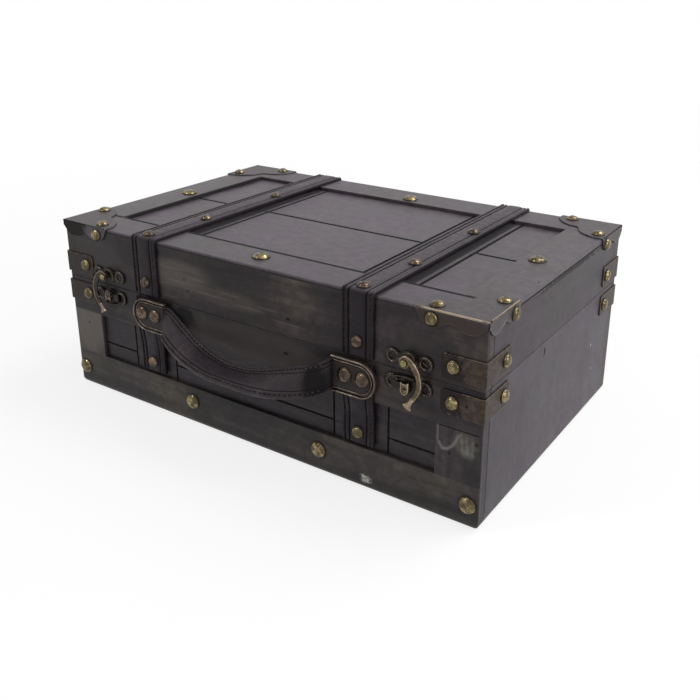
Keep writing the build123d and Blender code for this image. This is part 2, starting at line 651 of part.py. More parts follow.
def handle_plate(hand):
    """A D-shaped plate with two raised rims round the leather end of the handle."""
    step = RIM_WIDTH + RIM_STEP_WIDTH
    plate = extrude(d_outline(0, 0), amount=HANDLE_PLATE_FLOOR)
    rim = d_outline(0, 0) - d_outline(RIM_WIDTH, -OVERRUN)
    plate += extrude(rim, amount=HANDLE_PLATE_FLOOR + RIM_RISE)
    inner_rim = d_outline(step, 0) - d_outline(step + INNER_RIM_WIDTH, -OVERRUN)
    plate += extrude(inner_rim, amount=HANDLE_PLATE_FLOOR + INNER_RIM_RISE)
    return on_front(plate, HANDLE_SEAT, plate_place(hand), HANDLE_PLATE_MIDDLE, hand)


def handle_tab(hand):
    """The leather end of the handle, lying inside the rims of its plate."""
    inset = RIM_WIDTH + RIM_STEP_WIDTH + INNER_RIM_WIDTH + TAB_GAP
    tab = extrude(d_outline(inset, 0), amount=TAB_THICK)
    return on_front(tab, TAB_BACK, plate_place(hand), HANDLE_PLATE_MIDDLE, hand)


def handle_rivets(hand):
    rivets = []
    for along in (RIVET_NEAR, RIVET_FAR):
        head = Pos(along, RIVET_UP) * dome(RIVET_RADIUS, RIVET_RISE)
        rivets.append(on_front(head, TAB_BACK - TAB_THICK, plate_place(hand), HANDLE_PLATE_MIDDLE, hand))
    return rivets


def handle_section(share):
    """Corners of one cross-section of the hanging handle, share of the way from its left end."""
    swing = sin(pi * share) ** HANDLE_CURVE if 0 < share < 1 else 0.0
    x = HANDLE_LEFT + (HANDLE_RIGHT - HANDLE_LEFT) * share
    y = TAB_BACK - HANDLE_THICK / 2 - HANDLE_BOW * swing
    z = HANDLE_PLATE_MIDDLE - HANDLE_SAG * swing
    lean = radians(HANDLE_TILT) * swing
    plane = Plane(origin=(x, y, z), x_dir=(0, sin(lean), cos(lean)), z_dir=(1, 0, 0))
    half, thick = HANDLE_WIDTH / 2, HANDLE_THICK / 2
    return [plane.from_local_coords(corner) for corner in
            [(-half, -thick), (half, -thick), (half, thick), (-half, thick)]]


def handle_strap():
    """The leather handle: bowed out, hanging, and leaning its face upwards."""
    shares = HANDLE_SHARES + [1.0 - share for share in reversed(HANDLE_SHARES[:-1])]
    rings = [handle_section(share) for share in shares]
    faces = [flat_face(rings[0]), flat_face(rings[-1])]
    for ring, following in zip(rings, rings[1:]):
        for k in range(len(ring)):
            m = (k + 1) % len(ring)
            faces.append(flat_face([ring[k], ring[m], following[m]]))
            faces.append(flat_face([ring[k], following[m], following[k]]))
    return Solid(Shell(faces))


def flat_face(corners):
    return Face(Wire.make_polygon(corners))


def hinge_span(part):
    """The three stretches of a hinge barrel: 0 and 2 belong to the base, 1 to the lid."""
    third = HINGE_LENGTH / 3
    start = -HINGE_LENGTH / 2 + part * third
    return start + KNUCKLE_GAP / 2, start + third - KNUCKLE_GAP / 2


def barrel(x0, x1, radius):
    rod = Rot(0, 90, 0) * Cylinder(radius, x1 - x0)
    return Pos((x0 + x1) / 2, HINGE_AXIS_Y, SEAM_HEIGHT) * rod


def hinge_leaf(own, others, up):
    """One leaf of a butt hinge with its knuckles, made at the middle of the box."""
    half = HINGE_LENGTH / 2
    near = SEAM_HEIGHT + up * SEAM_GAP
    far = SEAM_HEIGHT + up * LEAF_HEIGHT
    leaf = block(-half, half, HALF_DEPTH, HALF_DEPTH + LEAF_SHEET, min(near, far), max(near, far))
    for part in others:
        x0, x1 = hinge_span(part)
        leaf -= barrel(x0 - KNUCKLE_GAP, x1 + KNUCKLE_GAP, KNUCKLE_RADIUS + KNUCKLE_GAP)
    for part in own:
        leaf += barrel(*hinge_span(part), KNUCKLE_RADIUS)
    return leaf - barrel(-half - OVERRUN, half + OVERRUN, HINGE_PIN_RADIUS + HINGE_PIN_CLEARANCE)


def hinge_screws(up):
    screws = []
    height = SEAM_HEIGHT + up * HINGE_SCREW_DOWN
    for middle in (-HINGE_OUT, HINGE_OUT):
        for side in (-HINGE_SCREW_SPREAD, HINGE_SCREW_SPREAD):
            place = (middle + side, HALF_DEPTH + LEAF_SHEET, height)
            screws.append(tack(place, BACKWARD, HINGE_SCREW_RADIUS, HINGE_SCREW_RISE))
    return screws


def at_both_hinges(shape):
    return [Pos(-HINGE_OUT, 0, 0) * shape, Pos(HINGE_OUT, 0, 0) * shape]


CORNERS = {
    "front_left": (-1, -1), "front_right": (1, -1),
    "back_left": (-1, 1), "back_right": (1, 1),
}
LATCHES = {"left": (LATCH_LEFT_OUT, -1), "right": (LATCH_RIGHT_OUT, 1)}


def make_wood():
    save("base_front_board", base_front_board())
    save("lid_top_board", lid_top_board())
    for group in (base_boards(), front_frame(), lid_walls(), top_frame()):
        for name, piece in group.items():
            save(name, piece)
    save("bottom_rail_tacks", *bottom_rail_tacks())
    save("top_frame_tacks", *top_frame_tacks())


def make_straps():
    for name, middle in (("left", -STRAP_OUT), ("right", STRAP_OUT)):
        save(f"lid_strap_{name}", lid_strap(middle))
        save(f"base_strap_{name}", base_front_strap(middle))
    save("base_back_straps", base_back_strap(-STRAP_OUT), base_back_strap(STRAP_OUT))
    save("lid_strap_tacks", *lid_strap_tacks())
    save("base_strap_tacks", *base_strap_tacks())


def make_corners():
    base_tacks = []
    lid_tacks = []
    for name, (side, face) in CORNERS.items():
        save(f"base_bracket_{name}", at_corner(bracket(BRACKET_BASE_MIDDLE), side, face))
        save(f"lid_bracket_{name}", at_corner(bracket(BRACKET_LID_MIDDLE), side, face))
        save(f"corner_cap_{name}", at_corner(corner_cap(), side, face))
        base_tacks += [at_corner(one, side, face) for one in bracket_tacks(BRACKET_BASE_MIDDLE)]
        lid_tacks += [at_corner(one, side, face) for one in bracket_tacks(BRACKET_LID_MIDDLE) + cap_tacks()]
    save("base_corner_tacks", *base_tacks)
    save("lid_corner_tacks", *lid_tacks)


def make_latches():
    lid_screws = []
    base_screws = []
    pivots = []
    for name, (out, hand) in LATCHES.items():
        save(f"latch_plate_{name}", latch_plate(out, hand))
        save(f"latch_catch_{name}", latch_catch(out, hand))
        save(f"latch_hook_{name}", hook(out, hand))
        lid_screws += latch_screws(out, hand, LATCH_LID_HEIGHT)
        base_screws += latch_screws(out, hand, LATCH_BASE_HEIGHT)
        pivots.append(latch_pivot(out, hand))
    save("latch_plate_screws", *lid_screws)
    save("latch_catch_screws", *base_screws)
    save("latch_pivots", *pivots)


def make_handle():
    save("handle_strap", handle_strap())
    save("handle_plate_left", handle_plate(-1))
    save("handle_plate_right", handle_plate(1))
    save("handle_tabs", handle_tab(-1), handle_tab(1))
    save("handle_rivets", *handle_rivets(-1), *handle_rivets(1))


def make_hinges():
    save("hinge_base_leaves", *at_both_hinges(hinge_leaf((0, 2), (1,), -1)))
    save("hinge_lid_leaves", *at_both_hinges(hinge_leaf((1,), (0, 2), 1)))
    half = HINGE_LENGTH / 2
    save("hinge_pins", *at_both_hinges(barrel(-half, half, HINGE_PIN_RADIUS)))
    save("hinge_base_screws", *hinge_screws(-1))
    save("hinge_lid_screws", *hinge_screws(1))


os.makedirs("parts", exist_ok=True)
make_wood()
make_straps()
make_corners()
make_latches()
make_handle()
make_hinges()
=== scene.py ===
# %% [markdown]
# The object is a small wooden keepsake box in the form of an old suitcase: painted boards, leather
# straps, a leather handle, sheet-metal corners and two horn-shaped latches. The imported model gives
# the place of every piece. This script loads it, and gives each piece its finish, or a finer form
# in the same place. The scene is in metres. What was measured is written in millimetres, and
# multiplied by MM.

# %% Load the imported model
import json
import math

import bpy
from mathutils import Matrix, Vector, noise

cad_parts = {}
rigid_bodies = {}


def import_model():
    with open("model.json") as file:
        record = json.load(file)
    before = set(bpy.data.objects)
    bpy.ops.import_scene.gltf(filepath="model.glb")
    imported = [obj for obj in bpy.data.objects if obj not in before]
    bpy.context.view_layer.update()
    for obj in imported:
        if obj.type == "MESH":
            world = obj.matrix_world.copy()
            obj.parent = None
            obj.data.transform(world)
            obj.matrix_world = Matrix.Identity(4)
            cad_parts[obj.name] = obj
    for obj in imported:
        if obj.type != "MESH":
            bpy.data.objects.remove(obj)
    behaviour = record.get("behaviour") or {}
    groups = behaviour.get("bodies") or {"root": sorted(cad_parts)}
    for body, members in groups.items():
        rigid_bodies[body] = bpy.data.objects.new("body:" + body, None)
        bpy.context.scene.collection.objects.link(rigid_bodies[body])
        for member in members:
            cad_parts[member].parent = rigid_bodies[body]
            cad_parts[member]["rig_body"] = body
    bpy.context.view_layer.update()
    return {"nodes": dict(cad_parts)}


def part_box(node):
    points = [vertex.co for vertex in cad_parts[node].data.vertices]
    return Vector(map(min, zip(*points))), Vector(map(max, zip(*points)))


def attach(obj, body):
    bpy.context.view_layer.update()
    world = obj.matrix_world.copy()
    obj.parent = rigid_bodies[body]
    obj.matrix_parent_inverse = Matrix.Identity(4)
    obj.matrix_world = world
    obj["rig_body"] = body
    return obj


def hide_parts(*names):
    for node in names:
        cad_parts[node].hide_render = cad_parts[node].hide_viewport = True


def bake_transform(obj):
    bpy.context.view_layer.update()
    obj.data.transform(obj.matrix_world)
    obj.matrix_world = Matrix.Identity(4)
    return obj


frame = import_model()
nodes = frame["nodes"]
MM = 0.001

# %% [markdown]
# The camera stands to the right of the box and a little above it. A lens of about 44 mm gives the
# mild perspective of the photograph, and a small shift puts the box where it stands in the frame.
# The camera is placed by its own three axes, which are simpler to measure than three angles.

# %% Camera
camera_data = bpy.data.cameras.new("camera")
camera = bpy.data.objects.new("camera", camera_data)
bpy.context.scene.collection.objects.link(camera)
bpy.context.scene.camera = camera

look = Vector((-0.5179, 0.7861, -0.3373)).normalized()
to_right = Vector((0.8340, 0.5518, 0.0054)).normalized()
upward = to_right.cross(look).normalized()
turn = Matrix((to_right, upward, -look)).transposed().to_4x4()
stand = Matrix.Translation((0.3030, -0.4299, 0.2705))
camera.matrix_world = stand @ turn
camera_data.lens = 44.08
camera_data.shift_x, camera_data.shift_y = -0.0241, -0.112
camera_data.clip_start = 0.01
print("camera looks along", [round(value, 3) for value in look])

# %% [markdown]
# A node tree is easier to read in a script when a node, its settings and what feeds it are one
# call: put() does that. The sums that this script needs often are one word each.

# %% Helpers for node trees
def put(tree, kind, feeds=None, **settings):
    """Add a node with its settings, and feed its inputs from numbers or other sockets."""
    node = tree.nodes.new(kind)
    for name, value in settings.items():
        setattr(node, name, value)
    for name, value in (feeds or {}).items():
        socket = node.inputs[name]
        if isinstance(value, bpy.types.NodeSocket):
            tree.links.new(value, socket)
        else:
            socket.default_value = value
    return node


def maths(tree, operation, first, second=0.0):
    return put(tree, "ShaderNodeMath", {0: first, 1: second}, operation=operation).outputs[0]


def plus(tree, first, second):
    return maths(tree, "ADD", first, second)


def times(tree, first, second):
    return maths(tree, "MULTIPLY", first, second)


def vectors(tree, operation, *feeds):
    """Vector maths; a length and a dot product give a number, and the others a vector."""
    outputs = put(tree, "ShaderNodeVectorMath", dict(enumerate(feeds)), operation=operation).outputs
    return outputs["Value" if operation in ("LENGTH", "DOT_PRODUCT") else "Vector"]


print("node helpers ready")

# %% [markdown]
# Three kinds of node make most of a worn surface: noise, a soft step that turns the noise into a
# mask, and a mix that lays one colour over another through the mask.

# %% Helpers for masks and colours
def between(tree, value, low, high, to_low=0.0, to_high=1.0):
    """A soft step: to_low where the value is low, to_high where it is high."""
    step = {"Value": value, "From Min": low, "From Max": high, "To Min": to_low, "To Max": to_high}
    return put(tree, "ShaderNodeMapRange", step, interpolation_type="SMOOTHSTEP").outputs["Result"]


def tint(tree, share, first, second, blend_type="MIX"):
    """Mix two colours; share 0 gives the first and 1 the second."""
    mixer = put(tree, "ShaderNodeMix", {0: share, 6: first, 7: second}, data_type="RGBA")
    mixer.blend_type = blend_type
    return mixer.outputs[2]


def speckle(tree, vector, scale, detail=4.0, rough=0.55, warp=0.0):
    """Noise from 0 to 1; the scale is about the number of waves in a metre."""
    feeds = {"Vector": vector, "Scale": scale, "Detail": detail, "Roughness": rough, "Distortion": warp}
    return put(tree, "ShaderNodeTexNoise", feeds).outputs["Fac"]


print("mask and colour helpers ready")

# %% [markdown]
# Worn paint, bare edges, grain and marks are needed in several materials. Each is a node group: a
# small tree with named inputs and outputs, which is built once and then placed in each material
# with values of its own. A group gives only what changes over a surface: colours, masks, heights
# and normals. The shader stays in the material, because an export looks for it there.

# %% Helpers for shared effects
FLOAT, COLOUR, VECTOR = "NodeSocketFloat", "NodeSocketColor", "NodeSocketVector"


def effect(name, inputs, outputs):
    """Start a node group with named inputs and outputs; gives the tree and both ends."""
    tree = bpy.data.node_groups.new(name, "ShaderNodeTree")
    for label, kind, value in inputs:
        socket = tree.interface.new_socket(label, in_out="INPUT", socket_type=kind)
        if value is not None:
            socket.default_value = value
    for label, kind in outputs:
        tree.interface.new_socket(label, in_out="OUTPUT", socket_type=kind)
    start = tree.nodes.new("NodeGroupInput").outputs
    end = tree.nodes.new("NodeGroupOutput").inputs
    return tree, start, end


def give(tree, end, **results):
    """Lead results out of a group, by the names of its outputs."""
    for name, socket in results.items():
        tree.links.new(socket, end[name])


def place_effect(tree, group, **feeds):
    """Place an effect in a material; a space in an input's name is written as _."""
    named = {name.replace("_", " "): value for name, value in feeds.items()}
    return put(tree, "ShaderNodeGroup", named, node_tree=bpy.data.node_groups[group]).outputs


print("effect helpers ready")

# %% [markdown]
# The wood is pine under a thin near-black paint. The paint lies unevenly: it is thinner along the
# grain lines, and rubbed brown in wide soft patches. One effect makes this from stretched noise: a
# fine one for the grain, a wider one for brush streaks, and slow ones for the patches. The board's
# grain direction is set in each material by how it stretches the coordinates.

# %% Effect: worn paint over grain
tree, start, end = effect("worn_paint", [
    ("Grain", VECTOR, None), ("Place", VECTOR, None), ("Paint", COLOUR, (0.03, 0.03, 0.03, 1)),
    ("Faded", COLOUR, (0.08, 0.08, 0.08, 1)), ("Rubbed", COLOUR, (0.1, 0.08, 0.05, 1)),
    ("Rub Share", FLOAT, 0.4), ("Streaks", FLOAT, 0.6)],
    [("Color", COLOUR), ("Roughness", FLOAT), ("Height", FLOAT)])
fine = speckle(tree, start["Grain"], 260.0, 3.0, 0.6)
streak = speckle(tree, start["Grain"], 60.0, 4.0, 0.6, 0.4)
patch = speckle(tree, start["Place"], 16.0, 4.0, 0.6, 0.5)
blotch = speckle(tree, start["Place"], 30.0, 5.0, 0.62, 0.8)
wide = speckle(tree, start["Grain"], 14.0, 3.0, 0.6, 0.8)
flecks = speckle(tree, start["Place"], 620.0, 2.0, 0.5)
cast = between(tree, speckle(tree, start["Place"], 24.0, 3.0, 0.6, 0.4), 0.36, 0.64)
lines = between(tree, fine, 0.40, 0.66)
field = put(tree, "ShaderNodeMix", {0: start["Streaks"], 2: blotch, 3: streak}).outputs[0]
print("fields of noise in the paint:", sum(node.type == "TEX_NOISE" for node in tree.nodes))

# %% [markdown]
# The colour is laid in layers, as on the real board, each through a mask of its own: faded paint,
# wood where it is rubbed, dark grain lines, small flecks and fine hairs of bare wood. Two slow
# changes of hue and lightness go over all of them, because no painted board has one even colour.

# %% Layers of the worn paint
coat = tint(tree, between(tree, field, 0.36, 0.66), start["Paint"], start["Faded"])
rub_floor = maths(tree, "SUBTRACT", 0.86, start["Rub Share"])
rub_field = plus(tree, times(tree, patch, 0.62), times(tree, wide, 0.38))
rub = between(tree, rub_field, maths(tree, "SUBTRACT", rub_floor, 0.10), plus(tree, rub_floor, 0.12))
rub = times(tree, rub, between(tree, streak, 0.34, 0.62, 0.35, 1.0))
colour = tint(tree, rub, coat, start["Rubbed"])
dark_lines = times(tree, lines, times(tree, start["Streaks"], 0.5))
colour = tint(tree, dark_lines, colour, start["Paint"])
colour = tint(tree, between(tree, flecks, 0.74, 0.80, 0.0, 0.5), colour, start["Rubbed"])
hue = tint(tree, cast, (1.06, 0.96, 1.04, 1), (1.03, 1.00, 0.94, 1))
colour = tint(tree, 1.0, colour, hue, "MULTIPLY")
hairs = between(tree, speckle(tree, start["Grain"], 700.0, 2.0, 0.5, 0.3), 0.66, 0.78, 0.0, 0.30)
colour = tint(tree, hairs, colour, start["Rubbed"])
mottle = between(tree, speckle(tree, start["Place"], 170.0, 5.0, 0.7, 0.3), 0.36, 0.66, 0.78, 1.25)
colour = tint(tree, 1.0, colour, mottle, "MULTIPLY")
dull = plus(tree, between(tree, field, 0.3, 0.7, 0.36, 0.50), times(tree, rub, 0.12))
relief = plus(tree, times(tree, fine, 0.5), times(tree, streak, 0.8))
give(tree, end, Color=colour, Roughness=dull, Height=relief)
print("worn_paint has", len(tree.nodes), "nodes")

# %% [markdown]
# Edges wear first. A Bevel node looks at the surface a little way around each point, so its normal
# leans over near an edge. How far it leans from the plain normal is a mask of the edges, broken up
# with noise so that the wear isn't an even line.

# %% Effect: worn edges
tree, start, end = effect("edge_wear", [
    ("Radius", FLOAT, 0.0008), ("Place", VECTOR, None), ("Broken", FLOAT, 0.5)],
    [("Mask", FLOAT), ("Normal", VECTOR)])
soft = put(tree, "ShaderNodeBevel", {"Radius": start["Radius"]}, samples=6).outputs["Normal"]
plain = put(tree, "ShaderNodeNewGeometry").outputs["Normal"]
lean = vectors(tree, "DOT_PRODUCT", soft, plain)
near_edge = between(tree, maths(tree, "SUBTRACT", 1.0, lean), 0.015, 0.16)
chips = speckle(tree, start["Place"], 420.0, 4.0, 0.65)
whole = maths(tree, "SUBTRACT", 1.0, start["Broken"])
kept = plus(tree, whole, times(tree, between(tree, chips, 0.40, 0.60), start["Broken"]))
give(tree, end, Mask=times(tree, near_edge, kept), Normal=soft)
print("edge_wear has", len(tree.nodes), "nodes")

# %% [markdown]
# Single marks, such as a knot, a nail hole or a scratch of bare wood, are placed one by one. This
# effect is a soft spot: 1 inside, 0 outside, with a ragged rim. It is stretched by its reach in
# each direction, and the ragged rim follows its size, so a small spot is as ragged as a large one.

# %% Effect: a spot
MARK_INPUTS = [("Place", VECTOR, None), ("Middle", VECTOR, None), ("Reach", VECTOR, None),
               ("Ragged", FLOAT, 0.4)]
OWN_NOISE = (90.0, 90.0, 90.0)


def from_middle(tree, start):
    """How far a place is from the middle of a mark, in shares of its reach."""
    return vectors(tree, "DIVIDE", vectors(tree, "SUBTRACT", start["Place"], start["Middle"]), start["Reach"])


def torn(tree, start, reach, noise_field):
    """The reach with a rim that the noise moves in and out."""
    return plus(tree, reach, times(tree, maths(tree, "SUBTRACT", noise_field, 0.5), start["Ragged"]))


tree, start, end = effect("spot", MARK_INPUTS, [("Mask", FLOAT)])
away = from_middle(tree, start)
own_place = vectors(tree, "MULTIPLY_ADD", start["Middle"], OWN_NOISE, away)
reach = torn(tree, start, vectors(tree, "LENGTH", away), speckle(tree, own_place, 2.4, 4.0, 0.65))
give(tree, end, Mask=between(tree, reach, 1.05, 0.45))
print("spot has", len(tree.nodes), "nodes")

# %% [markdown]
# Joints between boards, cracks and nail lines are straight, so they need a mark with square ends.
# It is the same as the spot, but it measures the largest of the three distances.

# %% Effect: a straight line
tree, start, end = effect("line", MARK_INPUTS, [("Mask", FLOAT)])
apart = put(tree, "ShaderNodeSeparateXYZ", {0: vectors(tree, "ABSOLUTE", from_middle(tree, start))}).outputs
largest = maths(tree, "MAXIMUM", maths(tree, "MAXIMUM", apart[0], apart[1]), apart[2])
reach = torn(tree, start, largest, speckle(tree, start["Place"], 380.0, 3.0, 0.6))
give(tree, end, Mask=between(tree, reach, 1.0, 0.75))
print("line has", len(tree.nodes), "nodes")

# %% [markdown]
# The leather is thin split leather, dyed almost black with a purple cast. Its grain is a field of
# small cells, the Voronoi texture's distance to the nearest cell wall, and long soft creases. The
# high places are rubbed lighter and a little shinier.

# %% Effect: leather grain
tree, start, end = effect("leather_grain", [
    ("Place", VECTOR, None), ("Dye", COLOUR, (0.03, 0.025, 0.03, 1)),
    ("Rubbed", COLOUR, (0.1, 0.09, 0.09, 1)), ("Wear", FLOAT, 0.4)],
    [("Color", COLOUR), ("Roughness", FLOAT), ("Height", FLOAT)])
bent = speckle(tree, start["Place"], 300.0, 2.0)
cells = put(tree, "ShaderNodeTexVoronoi", {"Vector": start["Place"], "Scale": 900.0},
            feature="DISTANCE_TO_EDGE")
grain = between(tree, cells.outputs["Distance"], 0.0, 0.16)
creases = between(tree, speckle(tree, start["Place"], 90.0, 4.0, 0.6, 0.8), 0.35, 0.6)
scuffs = between(tree, speckle(tree, start["Place"], 45.0, 5.0, 0.65, 0.6), 0.46, 0.72)
worn = times(tree, times(tree, scuffs, start["Wear"]), between(tree, grain, 0, 1, 0.4, 1))
colour = tint(tree, worn, start["Dye"], start["Rubbed"])
colour = tint(tree, maths(tree, "SUBTRACT", 1.0, grain), colour, (0.5, 0.5, 0.5, 1), "MULTIPLY")
dull = maths(tree, "SUBTRACT", between(tree, bent, 0.3, 0.7, 0.46, 0.60), times(tree, worn, 0.1))
relief = plus(tree, times(tree, grain, 0.5), times(tree, creases, 0.7))
give(tree, end, Color=colour, Roughness=dull, Height=relief)
print("leather_grain has", len(tree.nodes), "nodes")

# %% [markdown]
# The metal is thin brass sheet, darkened to bronze. The dark coat is mottled, and gone where hands
# and edges rubbed it. The effect mixes a dark and a bright metal by noise and by the wear mask that
# is fed in, and gives the dark coat a duller, less metallic surface.

# %% Effect: darkened brass
tree, start, end = effect("old_brass", [
    ("Place", VECTOR, None), ("Dark", COLOUR, (0.05, 0.04, 0.03, 1)),
    ("Bright", COLOUR, (0.4, 0.3, 0.16, 1)), ("Wear", FLOAT, 0.0), ("Mottle", FLOAT, 0.4),
    ("Dull", FLOAT, 0.5)],
    [("Color", COLOUR), ("Roughness", FLOAT), ("Metallic", FLOAT), ("Height", FLOAT)])
clouds = speckle(tree, start["Place"], 260.0, 5.0, 0.65, 0.6)
pits = speckle(tree, start["Place"], 900.0, 3.0, 0.6)
mottled = times(tree, between(tree, clouds, 0.42, 0.68), start["Mottle"])
bare = maths(tree, "MINIMUM", plus(tree, mottled, start["Wear"]), 1.0)
colour = tint(tree, bare, start["Dark"], start["Bright"])
colour = tint(tree, between(tree, pits, 0.6, 0.75, 0.0, 0.5), colour, start["Dark"])
dull = times(tree, between(tree, bare, 0.0, 1.0, 1.0, 0.65), start["Dull"])
dull = plus(tree, dull, between(tree, pits, 0.4, 0.7, 0.0, 0.08))
solid = between(tree, bare, 0.0, 0.5, 0.78, 1.0)
relief = plus(tree, times(tree, clouds, 0.7), times(tree, pits, 0.3))
give(tree, end, Color=colour, Roughness=dull, Metallic=solid, Height=relief)
print("old_brass has", len(tree.nodes), "nodes")

# %% [markdown]
# Every material starts with the same nodes: the Principled shader, the output, and the Object
# coordinates. All pieces share the origin of the box, so these coordinates are those of the whole
# box, and a place that was measured on it can be used in any material.

# %% Start of a material
def start_material(name):
    material = bpy.data.materials.new(name)
    material.use_nodes = True
    tree = material.node_tree
    tree.nodes.clear()
    surface = put(tree, "ShaderNodeBsdfPrincipled")
    put(tree, "ShaderNodeOutputMaterial", {"Surface": surface.outputs[0]})
    place = put(tree, "ShaderNodeTexCoord").outputs["Object"]
    return material, tree, surface, place


def connect(tree, surface, **feeds):
    """Feed the shader's inputs; a space in an input's name is written as _."""
    for name, socket in feeds.items():
        tree.links.new(socket, surface.inputs[name.replace("_", " ")])


print("materials share the origin of", len(nodes), "pieces")

# %% [markdown]
# A mark is laid with the spot or the line, in millimetres of the box. Three helpers say on which
# face it lies, so that a list of marks holds only what was measured: where it is, how far it
# reaches each way, how ragged its rim is, its colour, and how much it covers. Very dark marks are
# dirt in gaps, and some are painted shade and shadow: beside the straps, on the handle's fold and
# next to the handle's left plate. None of them has gloss, so marked() also gives where they lie.

# %% Marks laid by hand
FRONT, RIGHT, TOP = -95, 150, 115
THROUGH = 3
DEEP = (0.003, 0.003, 0.003)
# Marks darker than this get no gloss: dirt in gaps, and the painted shades and shadows.
DIRT_AND_SHADE_BELOW = 0.015


def on_front(kind, x, z, wide, high, ragged, colour, strength, y=FRONT):
    return kind, (x, y, z), (wide, THROUGH, high), ragged, colour, strength


def on_right(kind, y, z, deep, high, ragged, colour, strength):
    return kind, (RIGHT, y, z), (THROUGH, deep, high), ragged, colour, strength


def on_top(kind, x, y, wide, deep, ragged, colour, strength, z=TOP):
    return kind, (x, y, z), (wide, deep, THROUGH), ragged, colour, strength


def marked(tree, place, colour, marks):
    """Lay marks over a colour, one after another; gives the colour and the share of very dark marks: dirt,
    and painted shade.
    """
    dirt_and_shade = 0.0
    for kind, middle, reach, ragged, mark_colour, strength in marks:
        mask = place_effect(tree, kind, Place=place, Middle=[value * MM for value in middle],
                            Reach=[value * MM for value in reach], Ragged=ragged)["Mask"]
        share = times(tree, mask, strength)
        colour = tint(tree, share, colour, (*mark_colour, 1))
        if max(mark_colour) < DIRT_AND_SHADE_BELOW:
            dirt_and_shade = maths(tree, "MAXIMUM", dirt_and_shade, share)
    return colour, dirt_and_shade


print("a knot on the front:", on_front("spot", -46, 96, 2.2, 2.0, 0.9, DEEP, 0.8))

# %% [markdown]
# Every wooden board takes one of a few wood materials: the front is the darkest, the top and sides
# are greyer. painted_wood() makes one for a grain direction, an offset that keeps two boards from
# showing the same streaks, and a list of marks.

# %% Painted wood
ALONG = {"x": (0.07, 1.0, 1.0), "y": (1.0, 0.07, 1.0), "z": (1.0, 1.0, 0.07)}


def shifted(tree, place, scale, offset):
    return put(tree, "ShaderNodeMapping", {"Vector": place, "Scale": scale, "Location": offset}).outputs[0]


def painted_wood(name, along, paint, faded, rubbed, rub_share, offset=(0, 0, 0), marks=(), wear=0.5,
                 streaks=0.7, shine=0.2):
    """Worn paint on a board whose grain runs along x, y or z."""
    material, tree, surface, place = start_material(name)
    worn = place_effect(tree, "worn_paint", Grain=shifted(tree, place, ALONG[along], offset),
                        Place=shifted(tree, place, (1, 1, 1), offset), Paint=(*paint, 1), Faded=(*faded, 1),
                        Rubbed=(*rubbed, 1), Rub_Share=rub_share, Streaks=streaks)
    edge = place_effect(tree, "edge_wear", Radius=0.0007, Place=place, Broken=0.8)
    colour, dirt_and_shade = marked(tree, place, worn["Color"], marks)
    colour = tint(tree, times(tree, edge["Mask"], wear), colour, (*rubbed, 1))
    bump = put(tree, "ShaderNodeBump", {"Height": worn["Height"], "Normal": edge["Normal"],
                                        "Strength": 0.35, "Distance": 0.0004})
    connect(tree, surface, Base_Color=colour, Roughness=maths(tree, "MAXIMUM", worn["Roughness"], dirt_and_shade),
            Normal=bump.outputs[0])
    surface.inputs["Specular IOR Level"].default_value = shine
    return material


def finish(material, *names):
    for name in names:
        slots = nodes[name].data.materials
        slots.clear()
        slots.append(material)


back_wood = painted_wood("back_wood", "x", (0.016, 0.014, 0.015), (0.044, 0.039, 0.039),
                         (0.090, 0.076, 0.060), 0.30, (0.55, 0.9, 0.35))
finish(back_wood, "base_back_board", "lid_back_board", "base_floor")
print("back boards finished")

# %% [markdown]
# The front board of the lid is the most worn one. It has a few knots and holes, wide patches where
# the paint is rubbed brown, and pale and dark streaks that run with the grain. At the right its
# end meets the side board in a dark joint.

# %% Front board of the lid
RUBBED = (0.104, 0.087, 0.072)
PALE_STREAK, DARK_STREAK = (0.125, 0.107, 0.095), (0.016, 0.0128, 0.0128)
corner_joint = [on_right("line", -87.8, 60, 0.6, 60, 0.9, DEEP, 0.75)]
lid_marks = corner_joint + [
    on_right("line", -93.2, 100, 0.35, 13, 0.5, DEEP, 0.7),
    on_front("spot", -46, 96, 2.2, 2.0, 0.9, DEEP, 0.8),
    on_front("spot", -44, 89, 1.8, 1.3, 0.8, DEEP, 0.8),
    on_front("spot", 31, 89, 1.8, 1.3, 0.8, DEEP, 0.9),
    on_front("spot", 48, 91, 1.6, 2.2, 1.0, DEEP, 0.5),
    on_front("spot", -118, 97, 26, 15, 0.8, (0.050, 0.042, 0.042), 0.35),
    on_front("spot", -52, 98, 32, 12, 0.35, (0.110, 0.092, 0.080), 0.55),
    on_front("spot", -20, 110.5, 46, 6, 0.5, (0.010, 0.008, 0.009), 0.5),
    on_front("spot", -12, 91, 34, 7, 0.35, (0.090, 0.074, 0.062), 0.34),
    on_front("spot", 112, 92, 20, 15, 1.0, (0.0155, 0.0130, 0.0140), 0.5)]
lid_marks += [on_front("spot", x, z, half, 0.9, 1.6, PALE_STREAK, 0.28)
              for x, z, half in ((-57, 101, 10), (-49, 93.6, 14), (-37, 97.5, 9), (-27, 90.5, 18),
                                 (-10, 93.8, 10), (3, 88.9, 15), (17, 91.2, 9), (30, 86, 13))]
lid_marks += [on_front("spot", x, z, half, 1.1, 1.6, DARK_STREAK, 0.36)
              for x, z, half in ((-41, 100.3, 14), (-21, 95.9, 17), (7, 84.6, 19), (24, 93.5, 12),
                                 (-52, 89.3, 9))]
lid_front = painted_wood("lid_front_wood", "x", (0.0086, 0.0064, 0.0076), (0.034, 0.0268, 0.0295),
                         RUBBED, 0.29, (0.3, 0.1, 0.55), lid_marks)
finish(lid_front, "lid_front_board")
print("lid front has", len(lid_marks), "marks")
